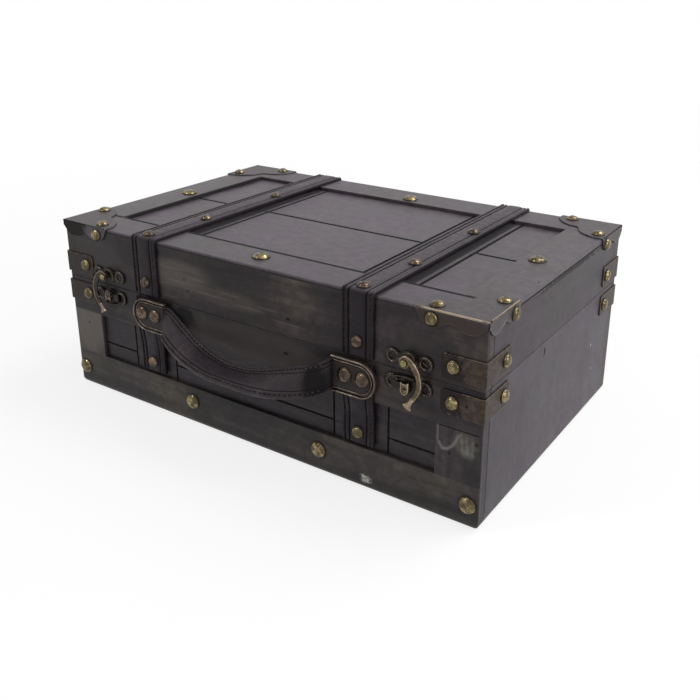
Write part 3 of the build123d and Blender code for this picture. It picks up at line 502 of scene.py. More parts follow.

# %% [markdown]
# On the base a frame of rails and stiles is laid on the front board. The top rail is rubbed brown
# behind the handle, and a painted shadow darkens it beside the handle's left plate. The bottom rail
# is paler, and has a white chip near its right end. The panel inside the frame is made of planks,
# and a dark line over each joint gives it the dirt that real joints hold.

# %% Rails and panel of the front
PLANK_JOINTS = (-95, -60, 60, 95)
PLANK_RUNS = ((-112, 19), (0, 71), (112, 19))
PANEL_FRONT = -93
WHITE = (0.6, 0.58, 0.55)
rail_rubs_and_shadow = [on_front("spot", 5, 68, 64, 13, 0.5, (0.066, 0.053, 0.048), 0.4),
             # Painted shadow: a near-black spot on the rail just right of the handle's left plate.
             on_front("spot", -47, 73, 11, 8, 0.9, DEEP, 0.75),
             on_front("spot", 29, 68, 2.2, 1.4, 0.8, DEEP, 0.9)]
front_rail = painted_wood("front_rail_wood", "x", (0.0080, 0.0064, 0.0074), (0.029, 0.0245, 0.0265),
                          RUBBED, 0.30, (0.9, 0.2, 0.13), corner_joint + rail_rubs_and_shadow)
finish(front_rail, "front_top_rail")
chip = [on_front("spot", 82.4, 7.0, 3.6, 2.6, 3.4, (0.42, 0.40, 0.38), 0.7),
        on_front("spot", 80.9, 8.3, 1.6, 0.7, 1.8, WHITE, 0.9),
        on_front("spot", 83.6, 6.3, 0.7, 1.3, 1.8, WHITE, 0.8),
        on_front("spot", 81.6, 6.0, 1.5, 0.6, 1.8, (0.5, 0.48, 0.46), 0.8)]
foot_rail = painted_wood("foot_rail_wood", "x", (0.0125, 0.0110, 0.0112), (0.050, 0.045, 0.043),
                         (0.095, 0.085, 0.070), 0.36, (0.15, 0.4, 0.93), chip)
finish(foot_rail, "front_bottom_rail")
panel_lines = [on_front("line", x, 40, 0.85, 21, 0.3, DEEP, 0.95, PANEL_FRONT) for x in PLANK_JOINTS]
panel_lines += [on_front("line", x, 35.5, half, 0.8, 0.3, DEEP, 0.95, PANEL_FRONT) for x, half in PLANK_RUNS]
front_panel = painted_wood("front_panel_wood", "x", (0.0108, 0.0086, 0.0108), (0.034, 0.0285, 0.034),
                           RUBBED, 0.20, (0.6, 0.8, 0.4), corner_joint + panel_lines)
finish(front_panel, "base_front_board")
print("rails and panel finished")

# %% [markdown]
# The right stile was scuffed: chalky strokes, and a curved one that something dragged across it.
# The curve is a row of small ragged spots along an arc. The left stile is rubbed down to brown.

# %% Stiles of the front
CHALK = (0.26, 0.25, 0.23)
scuffs = [on_front("spot", 141, 48, 9, 9, 0.9, (0.088, 0.082, 0.066), 0.55),
          on_front("line", 125.4, 50, 0.5, 5, 0.9, CHALK, 0.3),
          on_front("spot", 142.5, 43, 5, 3, 1.2, CHALK, 0.2)]
arc = [(126.2, 45.0), (128.2, 41.9), (131.0, 42.4), (133.8, 44.9), (136.0, 48.6), (137.2, 52.6)]
for (x, z), (next_x, next_z) in zip(arc, arc[1:]):
    scuffs += [on_front("spot", x + (next_x - x) * t, z + (next_z - z) * t, 1.2, 1.2, 1.2, CHALK, 0.24)
               for t in (0.0, 0.25, 0.5, 0.75)]
scuffs += [on_front("line", x, z, 0.8, high, 2.6, CHALK, 0.17)
           for x, z, high in ((138.3, 50.5, 3), (139.4, 47.5, 5), (141.6, 48.6, 6), (142.6, 46.0, 4),
                              (145.0, 47.5, 5))]
scuffs += [on_front("spot", x, z, 1.1, 1.2, 0.6, DEEP, 0.8) for x, z in ((147.1, 49.6), (132.3, 40.3))]
scuffs += [on_front("line", 137, 55.2, 13.2, 0.8, 0.5, DEEP, 0.9)]
right_stile = painted_wood("right_stile_wood", "z", (0.0170, 0.0140, 0.0160), (0.044, 0.038, 0.041),
                           RUBBED, 0.16, (0.35, 0.6, 0.2), scuffs)
finish(right_stile, "front_right_stile")
brown_rub = [on_front("spot", -137, 48, 20, 30, 0.9, (0.112, 0.096, 0.085), 0.78),
             on_front("spot", -136.9, 47.0, 0.9, 0.9, 0.4, DEEP, 0.95)]
left_stile = painted_wood("front_stile_wood", "z", (0.0140, 0.0122, 0.0125), (0.052, 0.047, 0.044),
                          RUBBED, 0.36, (0.35, 0.6, 0.2), brown_rub)
finish(left_stile, "front_left_stile")
print("right stile has", len(scuffs), "marks")

# %% [markdown]
# The top has the same paint, but its colours here are set lighter and greyer than the front's:
# painted light, because the top faces the light. It is blotched more than streaked, and a little
# shinier than the front. Dirt lies in the plank joints. Along the inside of the frame the joint
# line is widened by painted shade in its step, and a painted shadow lies on both sides of each
# strap, widest on the right.

# %% Boards of the top
# These colours are lighter than the front's paint: painted light on the top, which faces the light.
GREY, GREY_FADED, GREY_RUB = (0.029, 0.0235, 0.030), (0.058, 0.049, 0.058), (0.100, 0.087, 0.080)
TOP_SHINE = 0.34
PANEL_TOP = 112
# Painted shadow: a dark line along both sides of each strap, on the panel and the rails, wider on the right,
# where the strap shades the wood.
strap_side_shadows = [("line", (x, 0, 114), (half, 125, 4), 0.5, DEEP, 0.8)
              for x, half in ((-66.9, 1.3), (88.1, 1.3), (-88.1, 0.9), (66.9, 0.9))]
top_lines = [on_top("line", x, 0, 1.3, 88, 0.3, DEEP, 1.0, PANEL_TOP) for x in PLANK_JOINTS]
top_lines += [on_top("line", x, 0, half, 1.5, 0.3, DEEP, 1.0, PANEL_TOP) for x, half in PLANK_RUNS]
# The first line here runs along the inside of the front rail: the joint, widened by painted shade in the
# step.
top_lines += [on_top("line", 0, -68.4, 160, 0.9, 0.4, DEEP, 1.0, PANEL_TOP),
              on_top("spot", 124.3, -37, 0.9, 8, 0.9, (0.22, 0.21, 0.21), 0.6, PANEL_TOP)]
# Painted shadow: a wider dark band on the panel to the right of each strap.
top_lines += [on_top("line", x, 0, 2.4, 88, 0.4, DEEP, 0.9, PANEL_TOP) for x in (-65.4, 89.6)]
top_panel = painted_wood("top_panel_wood", "x", (0.0325, 0.0260, 0.0345), (0.069, 0.058, 0.069),
                         GREY_RUB, 0.14, (0.2, 0.5, 0.1), top_lines + strap_side_shadows, wear=0.25, streaks=0.25,
                         shine=TOP_SHINE)
finish(top_panel, "lid_top_board")
# The first two lines run along the inside of the front rail: the joint, widened by painted shade in the step.
rail_marks = [on_top("line", 130.7, -68.6, 5.5, 0.5, 0.3, DEEP, 0.95),
              on_top("line", 0, -69.4, 160, 1.6, 0.5, DEEP, 1.0),
              ("line", (0, -95.3, 112.7), (190, 1.0, 1.5), 0.5, (0.010, 0.0082, 0.0094), 0.85)]
rail_marks += strap_side_shadows
top_rail = painted_wood("top_rail_wood", "x", GREY, GREY_FADED, GREY_RUB, 0.18, (0.7, 0.3, 0.6), rail_marks,
                        wear=0.3, streaks=0.4, shine=TOP_SHINE)
finish(top_rail, "top_front_rail", "top_back_rail")
stile_marks = rail_marks + [on_top("spot", 147.3, -30.8, 0.9, 0.9, 0.5, DEEP, 0.95),
                            on_top("line", -124.4, 0, 1.0, 88, 0.5, DEEP, 0.9)]
top_stile = painted_wood("top_stile_wood", "y", (0.033, 0.0280, 0.0335), (0.064, 0.056, 0.062), GREY_RUB,
                         0.22, (0.1, 0.7, 0.8), stile_marks, wear=0.3, streaks=0.4, shine=TOP_SHINE)
finish(top_stile, "top_left_stile", "top_right_stile")
print("top finished with", len(top_lines), "lines on its panel")

# %% [markdown]
# The side boards are a purple grey, darker at the lower front corner. They have two pale scratches,
# a nail hole just under the seam, and a dirty line under the edge of the top. The lid's sides are
# darker than the base's, with their grain along the box instead of upright.

# %% Side boards
PALE_SCRATCH = (0.35, 0.33, 0.32)
side_marks = corner_joint + [
    on_right("spot", 58.6, 46, 0.9, 1.2, 0.9, PALE_SCRATCH, 0.9),
    on_right("spot", 63.5, 28, 0.7, 0.8, 0.9, PALE_SCRATCH, 0.9),
    on_right("spot", -21, 72.6, 1.2, 3.6, 0.4, DEEP, 1.0),
    on_right("spot", -22.5, 70.4, 1.0, 1.2, 0.6, DEEP, 0.6),
    on_right("spot", -72, 34, 56, 44, 0.4, (0.011, 0.0075, 0.0115), 0.36),
    on_right("line", 0, 112.2, 88, 0.75, 1.1, DEEP, 0.8),
    on_right("line", 10, 110.6, 45, 1.6, 2.2, DEEP, 0.6)]
side_wood = painted_wood("side_wood", "z", (0.0230, 0.0172, 0.0250), (0.0435, 0.0345, 0.0450),
                         (0.078, 0.064, 0.066), 0.20, (0.4, 0.2, 0.7), side_marks, wear=0.35, streaks=0.35,
                         shine=0.30)
finish(side_wood, "base_left_board", "base_right_board")
lid_side = painted_wood("lid_side_wood", "y", (0.0150, 0.0108, 0.0152), (0.0310, 0.0236, 0.0300),
                        (0.060, 0.047, 0.047), 0.20, (0.7, 0.6, 0.2), side_marks, wear=0.35, streaks=0.35,
                        shine=0.26)
finish(lid_side, "lid_left_board", "lid_right_board")
print("all boards finished")

# %% [markdown]
# Metal pieces share one function: the effect of worn edges feeds the effect of darkened brass, so
# edges are bare and bright while the middle stays dark. How bright, mottled and dull it is differs
# from piece to piece: the tacks are the brightest, and the screws are nearly black.

# %% Metal material
def old_metal(name, dark, bright, mottle, dull=0.45, edge_radius=0.0006, edge_share=0.9, marks=(),
              uneven=0.4):
    """Darkened brass with bare edges; mottle and dull are the shares of bright metal and of blur."""
    material, tree, surface, place = start_material(name)
    edge = place_effect(tree, "edge_wear", Radius=edge_radius, Place=place, Broken=0.35)
    metal = place_effect(tree, "old_brass", Place=place, Dark=(*dark, 1), Bright=(*bright, 1),
                         Wear=times(tree, edge["Mask"], edge_share), Mottle=mottle, Dull=dull)
    bump = put(tree, "ShaderNodeBump", {"Height": metal["Height"], "Normal": edge["Normal"],
                                        "Strength": uneven, "Distance": 0.0003})
    colour, dirt_and_shade = marked(tree, place, metal["Color"], marks)
    connect(tree, surface, Base_Color=colour, Roughness=metal["Roughness"],
            Metallic=maths(tree, "MAXIMUM", metal["Metallic"], dirt_and_shade), Normal=bump.outputs[0])
    return material


print("old_metal ready")

# %% [markdown]
# The sheet at the corners has empty nail holes, and goes dark towards the ends of its legs. Along
# the front and side folds of the right front cap a bright line is painted: bare brass where the
# coat is rubbed away, and a painted highlight where the fold catches the light.

# %% Sheet metals
DARKENED = (0.014, 0.0115, 0.0120)
FOLD_WEAR_AND_HIGHLIGHT = (0.62, 0.50, 0.36)
nail_holes = [("spot", middle, (0.8, 0.8, 0.8), 0.3, DEEP, 0.95)
              for middle in ((150.8, -86.8, 88.2), (150.8, -85.8, 69.0), (141.1, -95.8, 69.5),
                             (-142.8, -95.8, 69.4))]
dark_ends = [("line", (129.5, -96, 78), (10.5, 2, 20), 1.6, DARKENED, 0.85),
             ("line", (-139, -96, 78), (14, 2, 20), 1.6, (0.020, 0.017, 0.017), 0.7)]
cap_marks = [("line", (-152, -96, 107.3), (26, 0.9, 11), 0.5, (0.009, 0.0075, 0.007), 0.95),
             ("line", (130.5, -96, 106), (28, 0.9, 10), 0.5, (0.030, 0.0205, 0.0165), 0.8),
             # Bright lines along the front and side folds of the right front cap: worn brass, and a painted
             # highlight.
             ("line", (131, -95.6, 115.8), (20.5, 0.55, 0.8), 0.6, FOLD_WEAR_AND_HIGHLIGHT, 0.85),
             ("line", (150.6, -77, 115.8), (0.55, 18, 0.8), 0.6, FOLD_WEAR_AND_HIGHLIGHT, 0.7)]
bronze_sheet = old_metal("bronze_sheet", (0.036, 0.025, 0.020), (0.30, 0.22, 0.15), 0.12, 0.46,
                         edge_share=0.55, marks=dark_ends + nail_holes)
cap_sheet = old_metal("cap_sheet", (0.071, 0.061, 0.066), (0.46, 0.40, 0.35), 0.06, 0.48, 0.0004, 0.5,
                      marks=cap_marks)
plate_bronze = old_metal("plate_bronze", (0.045, 0.034, 0.031), (0.40, 0.32, 0.26), 0.12, 0.36, 0.0003, 0.5)
print("sheet metals ready")

# %% [markdown]
# The cast and turned pieces are smoother than the sheet, so their bump is weaker, and only a fine
# line along each edge is bare.

# %% Cast and turned metals
def small_brass(name, dark, bright, mottle, dull, edge_share=0.6, uneven=0.2):
    return old_metal(name, dark, bright, mottle, dull, 0.0003, edge_share, uneven=uneven)


def tack_metal(name, dark, bright, mottle, dull, uneven=0.4):
    return old_metal(name, dark, bright, mottle, dull, edge_share=0.2, uneven=uneven)


plate_rim = small_brass("plate_rim", (0.085, 0.064, 0.054), (0.46, 0.37, 0.30), 0.30, 0.30)
latch_brass = small_brass("latch_brass", (0.017, 0.0135, 0.0120), (0.40, 0.33, 0.26), 0.03, 0.34)
horn_brass = small_brass("horn_brass", (0.080, 0.056, 0.035), (0.45, 0.345, 0.225), 0.26, 0.30)
horn_dark = small_brass("horn_dark", (0.026, 0.020, 0.017), (0.30, 0.24, 0.19), 0.10, 0.32)
rim_brass = small_brass("rim_brass", (0.195, 0.148, 0.098), (0.60, 0.475, 0.32), 0.50, 0.26, 0.4)
rivet_brass = small_brass("rivet_brass", (0.14, 0.12, 0.055), (0.36, 0.32, 0.15), 0.6, 0.28, 0.3, 0.4)
screw_dark = small_brass("screw_dark", (0.012, 0.010, 0.010), (0.24, 0.20, 0.16), 0.05, 0.42, 0.7, 0.4)
tack_brass = tack_metal("tack_brass", (0.074, 0.056, 0.027), (0.46, 0.37, 0.195), 0.66, 0.15, 0.12)
tack_brown = tack_metal("tack_brown", (0.045, 0.031, 0.024), (0.26, 0.18, 0.122), 0.62, 0.16, 0.10)
# The rims of the domes: dirt, and painted shade where each dome meets the wood.
tack_rim = tack_metal("tack_rim", (0.012, 0.010, 0.008), (0.10, 0.08, 0.05), 0.30, 0.45)
print("metals ready")

# %% [markdown]
# Leather has the grain effect, and no edge wear of its own: its edges are modelled. The straps are
# paler where they face up: dust, and painted light on the tops, which face the lamps. Two more
# leathers serve the pressed lines, which are darker and duller, with painted shade in the grooves,
# and the ends of the handle. The handle's leather has a painted shade on its fold at the right
# plate. Waxed thread takes the same function in paler colours.

# %% Leather materials
def leather(name, dye, rubbed, wear, shine=0.25, dull=1.0, uneven=0.5, marks=(), dust_and_top_light=None):
    """Dyed leather; where it faces up it takes the colour given for the tops, if there is one: dust, and
    painted light.
    """
    material, tree, surface, place = start_material(name)
    dye, rubbed = (*dye, 1), (*rubbed, 1)
    # Paler where the leather faces up: dust, and painted light on the tops.
    if dust_and_top_light:
        facing = put(tree, "ShaderNodeTexCoord").outputs["Normal"]
        rise = put(tree, "ShaderNodeSeparateXYZ", {0: facing}).outputs[2]
        up = between(tree, rise, 0.55, 0.95, 0.0, 0.85)
        dye = tint(tree, up, dye, (*dust_and_top_light, 1))
        rubbed = tint(tree, up, rubbed, [*(1.6 * value for value in dust_and_top_light), 1])
    skin = place_effect(tree, "leather_grain", Place=place, Dye=dye, Rubbed=rubbed, Wear=wear)
    bump = put(tree, "ShaderNodeBump", {"Height": skin["Height"], "Strength": uneven, "Distance": 0.0004})
    colour, dirt_and_shade = marked(tree, place, skin["Color"], marks)
    rough = maths(tree, "MAXIMUM", times(tree, skin["Roughness"], dull), dirt_and_shade)
    connect(tree, surface, Base_Color=colour, Roughness=rough, Normal=bump.outputs[0])
    surface.inputs["Specular IOR Level"].default_value = shine
    return material


# Painted shade: a near-black spot over the handle's fold at the right plate, where the leather faces away
# from the light.
handle_fold_painted_shade = [("spot", (57, -104, 62), (9.5, 17, 19), 0.3, (0.0025, 0.0018, 0.0022), 0.93)]
# The colour given for the tops is dust, and painted light where the straps face up.
strap_leather = leather("strap_leather", (0.0088, 0.0046, 0.0080), (0.034, 0.0228, 0.0310), 0.6, 0.20, 0.84,
                        0.28, dust_and_top_light=(0.046, 0.036, 0.044))
# The pressed lines are darker: pressed leather, and painted shade in the grooves.
pressed_and_shaded_leather = leather("pressed_and_shaded_leather", (0.0058, 0.0036, 0.0052), (0.021, 0.0150, 0.0185), 0.5, 0.06,
                          1.2)
handle_leather = leather("handle_leather", (0.0240, 0.0162, 0.0205), (0.082, 0.062, 0.070), 0.6, 0.26, 0.9,
                         0.4, handle_fold_painted_shade)
tab_leather = leather("tab_leather", (0.0175, 0.0105, 0.0100), (0.060, 0.042, 0.040), 0.6)
thread_dark = leather("waxed_thread", (0.030, 0.025, 0.026), (0.075, 0.064, 0.058), 0.8)
thread_pale = leather("pale_thread", (0.050, 0.042, 0.042), (0.17, 0.145, 0.14), 0.9)
print("leathers ready")

# %% [markdown]
# The straps, handle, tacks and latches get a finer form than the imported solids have. Each is made
# from lists of points and faces. Three helpers are enough: joined() puts several such forms in one,
# band() runs a closed cross-section along a line, and turned() spins a profile like a lathe does.

# %% Forms from points and faces
def joined(forms):
    """Several (points, faces) forms as one."""
    points, faces = [], []
    for some_points, some_faces in forms:
        start = len(points)
        points.extend(some_points)
        faces.extend([tuple(start + corner for corner in face) for face in some_faces])
    return points, faces


def band(rings, closed_ends=True):
    """Skin a row of rings that all have the same number of points."""
    count = len(rings[0])
    points = [point for ring in rings for point in ring]
    faces = []
    for row in range(len(rings) - 1):
        low, high = row * count, (row + 1) * count
        for k in range(count):
            m = (k + 1) % count
            faces.append((low + k, low + m, high + m, high + k))
    if closed_ends:
        faces.append(tuple(reversed(range(count))))
        faces.append(tuple(range(len(points) - count, len(points))))
    return points, faces


def turned(profile, sides, place, axis, bumps=None):
    """Spin (radius, height) pairs about an axis; bumps(angle, radius) may raise or sink a point."""
    across = axis.orthogonal().normalized()
    beside = axis.cross(across)
    rings = []
    for radius, height in profile:
        ring = []
        for k in range(sides):
            angle = 2 * math.pi * k / sides
            rise = height + (bumps(angle, radius) if bumps else 0.0)
            ring.append(place + across * radius * math.cos(angle) + beside * radius * math.sin(angle)
                        + axis * rise)
        rings.append(ring)
    return band(rings)


print("form helpers ready")

# %% [markdown]
# piece() turns a form into an object: it makes the faces smooth, keeps the edges that are sharper
# than an angle in degrees, lets the object ride on a body, and gives it its materials. shade()
# then spreads the materials over the faces by their number, which is easy here because each form
# is made row by row.

# %% Objects from forms
import bmesh


def piece(name, form, body, slot, sharp, *materials):
    points, faces = form
    mesh = bpy.data.meshes.new(name)
    mesh.from_pydata([tuple(point) for point in points], [], faces)
    shape = bmesh.new()
    shape.from_mesh(mesh)
    bmesh.ops.recalc_face_normals(shape, faces=shape.faces)
    shape.to_mesh(mesh)
    shape.free()
    mesh.shade_smooth()
    mesh.set_sharp_from_angle(angle=math.radians(sharp))
    for material in materials:
        mesh.materials.append(material)
    made = bpy.data.objects.new(name, mesh)
    bpy.context.scene.collection.objects.link(made)
    if body:
        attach(made, body)
    return made


def shade(made, which):
    """Give each face the material that which(number of the face) counts, from 0."""
    for face in made.data.polygons:
        face.material_index = which(face.index)


def body_of(name):
    return nodes[name]["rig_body"]


print("the lid's straps ride on", body_of("lid_strap_left"))

# %% [markdown]
# The tacks are hollow domes hammered from sheet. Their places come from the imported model, in which
# all tacks of a kind are one piece, and each tack is a loose part of it. loose_parts() finds the
# parts by walking from point to point.

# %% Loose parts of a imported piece
def part_middle(part):
    low = Vector([min(point[k] for point in part) for k in range(3)])
    high = Vector([max(point[k] for point in part) for k in range(3)])
    return (low + high) / 2


def loose_parts(name):
    shape = bmesh.new()
    shape.from_mesh(nodes[name].data)
    bmesh.ops.remove_doubles(shape, verts=shape.verts, dist=1e-6)
    left, found = set(shape.verts), []
    while left:
        waiting, part = [left.pop()], []
        while waiting:
            corner = waiting.pop()
            part.append(corner.co.copy())
            for edge in corner.link_edges:
                other = edge.other_vert(corner)
                if other in left:
                    left.remove(other)
                    waiting.append(other)
        found.append(part)
    shape.free()
    return sorted(found, key=lambda part: tuple(round(value, 5) for value in part_middle(part)))


print("tacks on the straps of the lid:", len(loose_parts("lid_strap_tacks")))

# %% [markdown]
# A tack is thin in one direction, which is where it points, and widest at its rim, which lies on
# the wood. So its direction, seat, radius and rise follow from its own points, and the same is true
# of a screw's head.

# %% Where the tacks sit
RIM_SHARE = 0.93


def seats(name):
    """(seat, direction, radius, rise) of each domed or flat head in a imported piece."""
    found = []
    for part in loose_parts(name):
        middle = part_middle(part)
        reach = [max(abs(point[k] - middle[k]) for point in part) for k in range(3)]
        thin = reach.index(min(reach))
        axis = Vector([1.0 if k == thin else 0.0 for k in range(3)])

        def from_axis(point):
            return (point - middle - axis * (point - middle).dot(axis)).length

        radius = max(from_axis(point) for point in part)
        rim = [point for point in part if from_axis(point) > RIM_SHARE * radius]
        if sum((point - middle).dot(axis) for point in rim) > 0:
            axis = -axis
        found.append((middle - axis * reach[thin], axis, radius, 2 * reach[thin]))
    return found


print("first strap tack:", seats("lid_strap_tacks")[0])

# %% [markdown]
# A hammered dome: a thin flat rim, a steep side, and a top with the dimple that the nail inside it
# left. The hammer left flats, which cells around each tack's own place give, so that no two tacks
# are alike. The rim is darker and has a material of its own: dirt, and painted shade where the
# dome meets the wood. The tacks on the straps are brown, but for the lowest ones of the right
# strap, which are as golden as the big tacks.

# %% Domed tacks
DOME = [(1.0, 0.0), (1.0, 0.10), (0.98, 0.15), (0.90, 0.17), (0.87, 0.30), (0.82, 0.50), (0.73, 0.68),
        (0.60, 0.83), (0.44, 0.94), (0.30, 1.0), (0.19, 0.98), (0.12, 0.90), (0.04, 0.88)]
RIM_ROWS, RIM_FROM = 4, 0.88
DOME_SIDES = 28
APART, CELLS, DENT = 900, 2.1, 0.09


def hammered(seat, axis, radius, rise):
    profile = [(radius * share, rise * up) for share, up in DOME]

    def flats(angle, reach):
        if reach > RIM_FROM * radius:
            return 0.0
        spot = seat * APART + Vector((math.cos(angle), math.sin(angle), 0)) * (reach / radius) * CELLS
        nearest = noise.voronoi(spot)[0][0]
        return -rise * DENT * min(nearest * 1.5, 1.0)

    return turned(profile, DOME_SIDES, seat, axis, flats)


RIM_FACES = RIM_ROWS * DOME_SIDES
FACES_EACH = (len(DOME) - 1) * DOME_SIDES + 2
GOLDEN_BELOW = 0.05
TACK_SHARE = {"lid_corner_tacks": 0.92, "base_corner_tacks": 0.94, "lid_strap_tacks": 0.95,
              "base_strap_tacks": 0.95, "handle_rivets": 1.12}
for name in [name for name in nodes if name.endswith("tacks")] + ["handle_rivets"]:
    heads, share = seats(name), TACK_SHARE.get(name, 1.0)
    form = joined([hammered(seat, axis, radius * share, rise) for seat, axis, radius, rise in heads])
    dome_metal = tack_brown if "strap" in name or "rivets" in name else tack_brass
    made = piece(name + "_domed", form, body_of(name), "tack_brass", 60, dome_metal, tack_rim, tack_brass)
    golden = [seat.x > 0 and seat.z < GOLDEN_BELOW for seat, axis, radius, rise in heads]

    def dome_material(number):
        tack, place_in_tack = divmod(number, FACES_EACH)
        if place_in_tack < RIM_FACES:
            return 1
        return 2 if golden[tack] else 0

    shade(made, dome_material)
    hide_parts(name)
    print(name, "->", len(form[0]), "points")

# %% [markdown]
# A strap is a folded strip of thin leather: its edges are turned in, so each edge is a rounded
# bead, with a sewn line beside it and a pressed line further in. That is the cross-section here,
# in mm from the middle of the strap and up from the wood.

# %% Cross-section of a strap
HALF_SECTION = [(10.0, 0.0), (10.0, 1.1), (9.85, 1.6), (9.5, 1.92), (9.05, 1.97), (8.65, 1.75), (8.4, 1.38),
                (8.15, 1.15), (7.85, 1.30), (7.5, 1.64), (7.0, 1.76), (6.3, 1.74), (5.9, 1.50), (5.6, 1.14),
                (5.3, 1.10), (5.0, 1.42), (4.5, 1.74), (3.0, 1.84), (1.2, 1.88)]


def mirrored(half):
    """The left half of a section, and the right half back to the start."""
    return [(-across, up) for across, up in half] + [(across, up) for across, up in reversed(half)]


STRAP_SECTION = mirrored(HALF_SECTION)
print("strap section has", len(STRAP_SECTION), "points")

# %% [markdown]
# The cross-section is run along the strap's line over the box. A line is given by its corners in
# the YZ plane, and leather can't turn a sharp corner, so each corner is rounded.

# %% Line of a strap
BEND_STEPS = 8


def rounded_line(corners, radius, step):
    """Points along a line of straight runs in the YZ plane, with rounded corners."""
    line = []
    for k in range(len(corners)):
        here = Vector(corners[k])
        if k in (0, len(corners) - 1) or radius == 0:
            line.append(here)
            continue
        before = (Vector(corners[k - 1]) - here).normalized()
        after = (Vector(corners[k + 1]) - here).normalized()
        opening = before.angle(after)
        back = min(radius / math.tan(opening / 2), 0.45 * (Vector(corners[k + 1]) - here).length)
        first, last = here + before * back, here + after * back
        for j in range(BEND_STEPS + 1):
            t = j / BEND_STEPS
            line.append(first * (1 - t) ** 2 + here * 2 * t * (1 - t) + last * t ** 2)
    dense = [line[0]]
    for first, last in zip(line, line[1:]):
        pieces = max(1, int((last - first).length / step))
        dense.extend(first.lerp(last, (j + 1) / pieces) for j in range(pieces))
    return dense


def outward(line, k):
    """The direction away from the box at a point of a line that runs up the front and over."""
    along = (line[min(k + 1, len(line) - 1)] - line[max(k - 1, 0)]).normalized()
    return Vector((-along.y, along.x))


print("a corner gets", BEND_STEPS + 1, "points")

# %% [markdown]
# Small changes of height and width along the way keep a strap from looking machined: noise lifts
# the face by up to RIPPLE, and moves the edges by up to SWELL, both in mm.

# %% Rings along a strap
RIPPLE, SWELL = 0.10, 0.18


def strap_rings(line, middle, seed):
    """A ring of points at each station of the line."""
    rings = []
    for k, (y, z) in enumerate(line):
        away = outward(line, k)
        ring = []
        for across, up in STRAP_SECTION:
            spot = Vector((across * 0.25 + seed, y / MM * 0.10, z / MM * 0.10))
            edge_spot = Vector((seed + math.copysign(3, across), y / MM * 0.12, z / MM * 0.12))
            lift = RIPPLE * noise.noise(spot * 2.2) if up > 0.3 else 0.0
            shift = SWELL * noise.noise(edge_spot)
            height = (up + lift) * MM
            ring.append(Vector((middle + (across + shift) * MM, y + away.x * height, z + away.y * height)))
        rings.append(ring)
    return rings


print("ripple", RIPPLE, "mm and swell", SWELL, "mm")

# %% [markdown]
# The sewing is real thread: short rounded stitches lie in the groove beside each edge. Each one is
# a small spindle between two points. Stitches in a bump would look as good from far off, but they
# would be missing in the mesh.

# %% One stitch
SPINDLE = ((0.0, 0.35, 0.9), (0.15, 0.85, 0.25), (0.5, 1.0, 0.0), (0.85, 0.85, 0.25), (1.0, 0.35, 0.9))
SIXTHS = (0, 1.05, 2.09, 3.14, 4.19, 5.24)


def spindle(first, last, radius, away):
    """One stitch: thick in the middle, its ends drawn into the leather."""
    along = (last - first).normalized()
    beside = along.cross(away).normalized()
    up = beside.cross(along)
    rings = []
    for t, thick, sink in SPINDLE:
        middle = first.lerp(last, t) - up * radius * sink
        rings.append([middle + (beside * math.cos(a) + up * math.sin(a)) * radius * thick for a in SIXTHS])
    return band(rings)


print("a stitch has", len(SPINDLE) * len(SIXTHS), "points")

# %% [markdown]
# A row of stitches follows a track of many points along the groove. Hand sewing is a little uneven,
# so noise changes the distance from one stitch to the next.

# %% A row of stitches
def stitch_row(track, aways, stitch, seed):
    """Stitches along a dense track of points; a stitch is its pitch, length and radius."""
    pitch, length, radius = (value * MM for value in stitch)
    forms, starts, travelled, next_start = [], [], 0.0, pitch
    for k in range(1, len(track)):
        travelled += (track[k] - track[k - 1]).length
        if travelled >= next_start:
            starts.append(k)
            next_start += pitch * (1 + 0.12 * noise.noise(Vector((seed, k * 0.7, 0))))
    for k in starts:
        end, run = k, 0.0
        while end + 1 < len(track) and run < length:
            run += (track[end + 1] - track[end]).length
            end += 1
        if run >= length * 0.8:
            forms.append(spindle(track[k], track[end], radius, aways[k]))
    return forms


print("stitch_row ready")

# %% [markdown]
# make_strap() puts these together for one strap: the folded leather, the darker leather in its two
# pressed lines, and the thread. The thread is a piece of its own, because it has its own material
# and finish.

# %% One strap
STRAP_LINES = ((7.8, 8.7), (5.0, 5.95))
STRAP_STITCH = (2.7, 1.9, 0.27)
GROOVE, THREAD_UP = 8.15, 1.30
STATION = 0.6 * MM


def pressed(section, lines):
    """For shade(): 1 on the faces that lie in the pressed lines of a section, and 0 elsewhere."""
    def which(number):
        column = number % len(section)
        near, far = abs(section[column][0]), abs(section[(column + 1) % len(section)][0])
        return int(any(low <= min(near, far) and max(near, far) <= high for low, high in lines))

    return which


def strap_sewing(line, middle, seed):
    forms = []
    for side in (-GROOVE, GROOVE):
        track, aways = [], []
        for k, (y, z) in enumerate(line):
            away = outward(line, k)
            track.append(Vector((middle + side * MM, y + away.x * THREAD_UP * MM,
                                 z + away.y * THREAD_UP * MM)))
            aways.append(Vector((0, away.x, away.y)))
        forms.extend(stitch_row(track, aways, STRAP_STITCH, seed + side))
    return joined(forms)


def make_strap(name, corners, middle, radius, body, seed, stands_for):
    """A sewn strap along a line with corners of a radius, in place of a packed strap."""
    line = rounded_line(corners, radius, STATION)
    made = piece(name, band(strap_rings(line, middle, seed)), body, "dark_leather", 70, strap_leather,
                 pressed_and_shaded_leather)
    shade(made, pressed(STRAP_SECTION, STRAP_LINES))
    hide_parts(stands_for)
    piece(name + "_sewing", strap_sewing(line, middle, seed), body, "dark_leather", 80, thread_dark)
    print(name, len(line), "stations")


print("make_strap ready")

# %% [markdown]
# Each lid strap is one piece of leather: up the front, over the top, and down the back. Its line
# lies on the wood, so it runs a leather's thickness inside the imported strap's box, and turns the
# two upper corners tightly, as leather does that was pulled down and nailed.

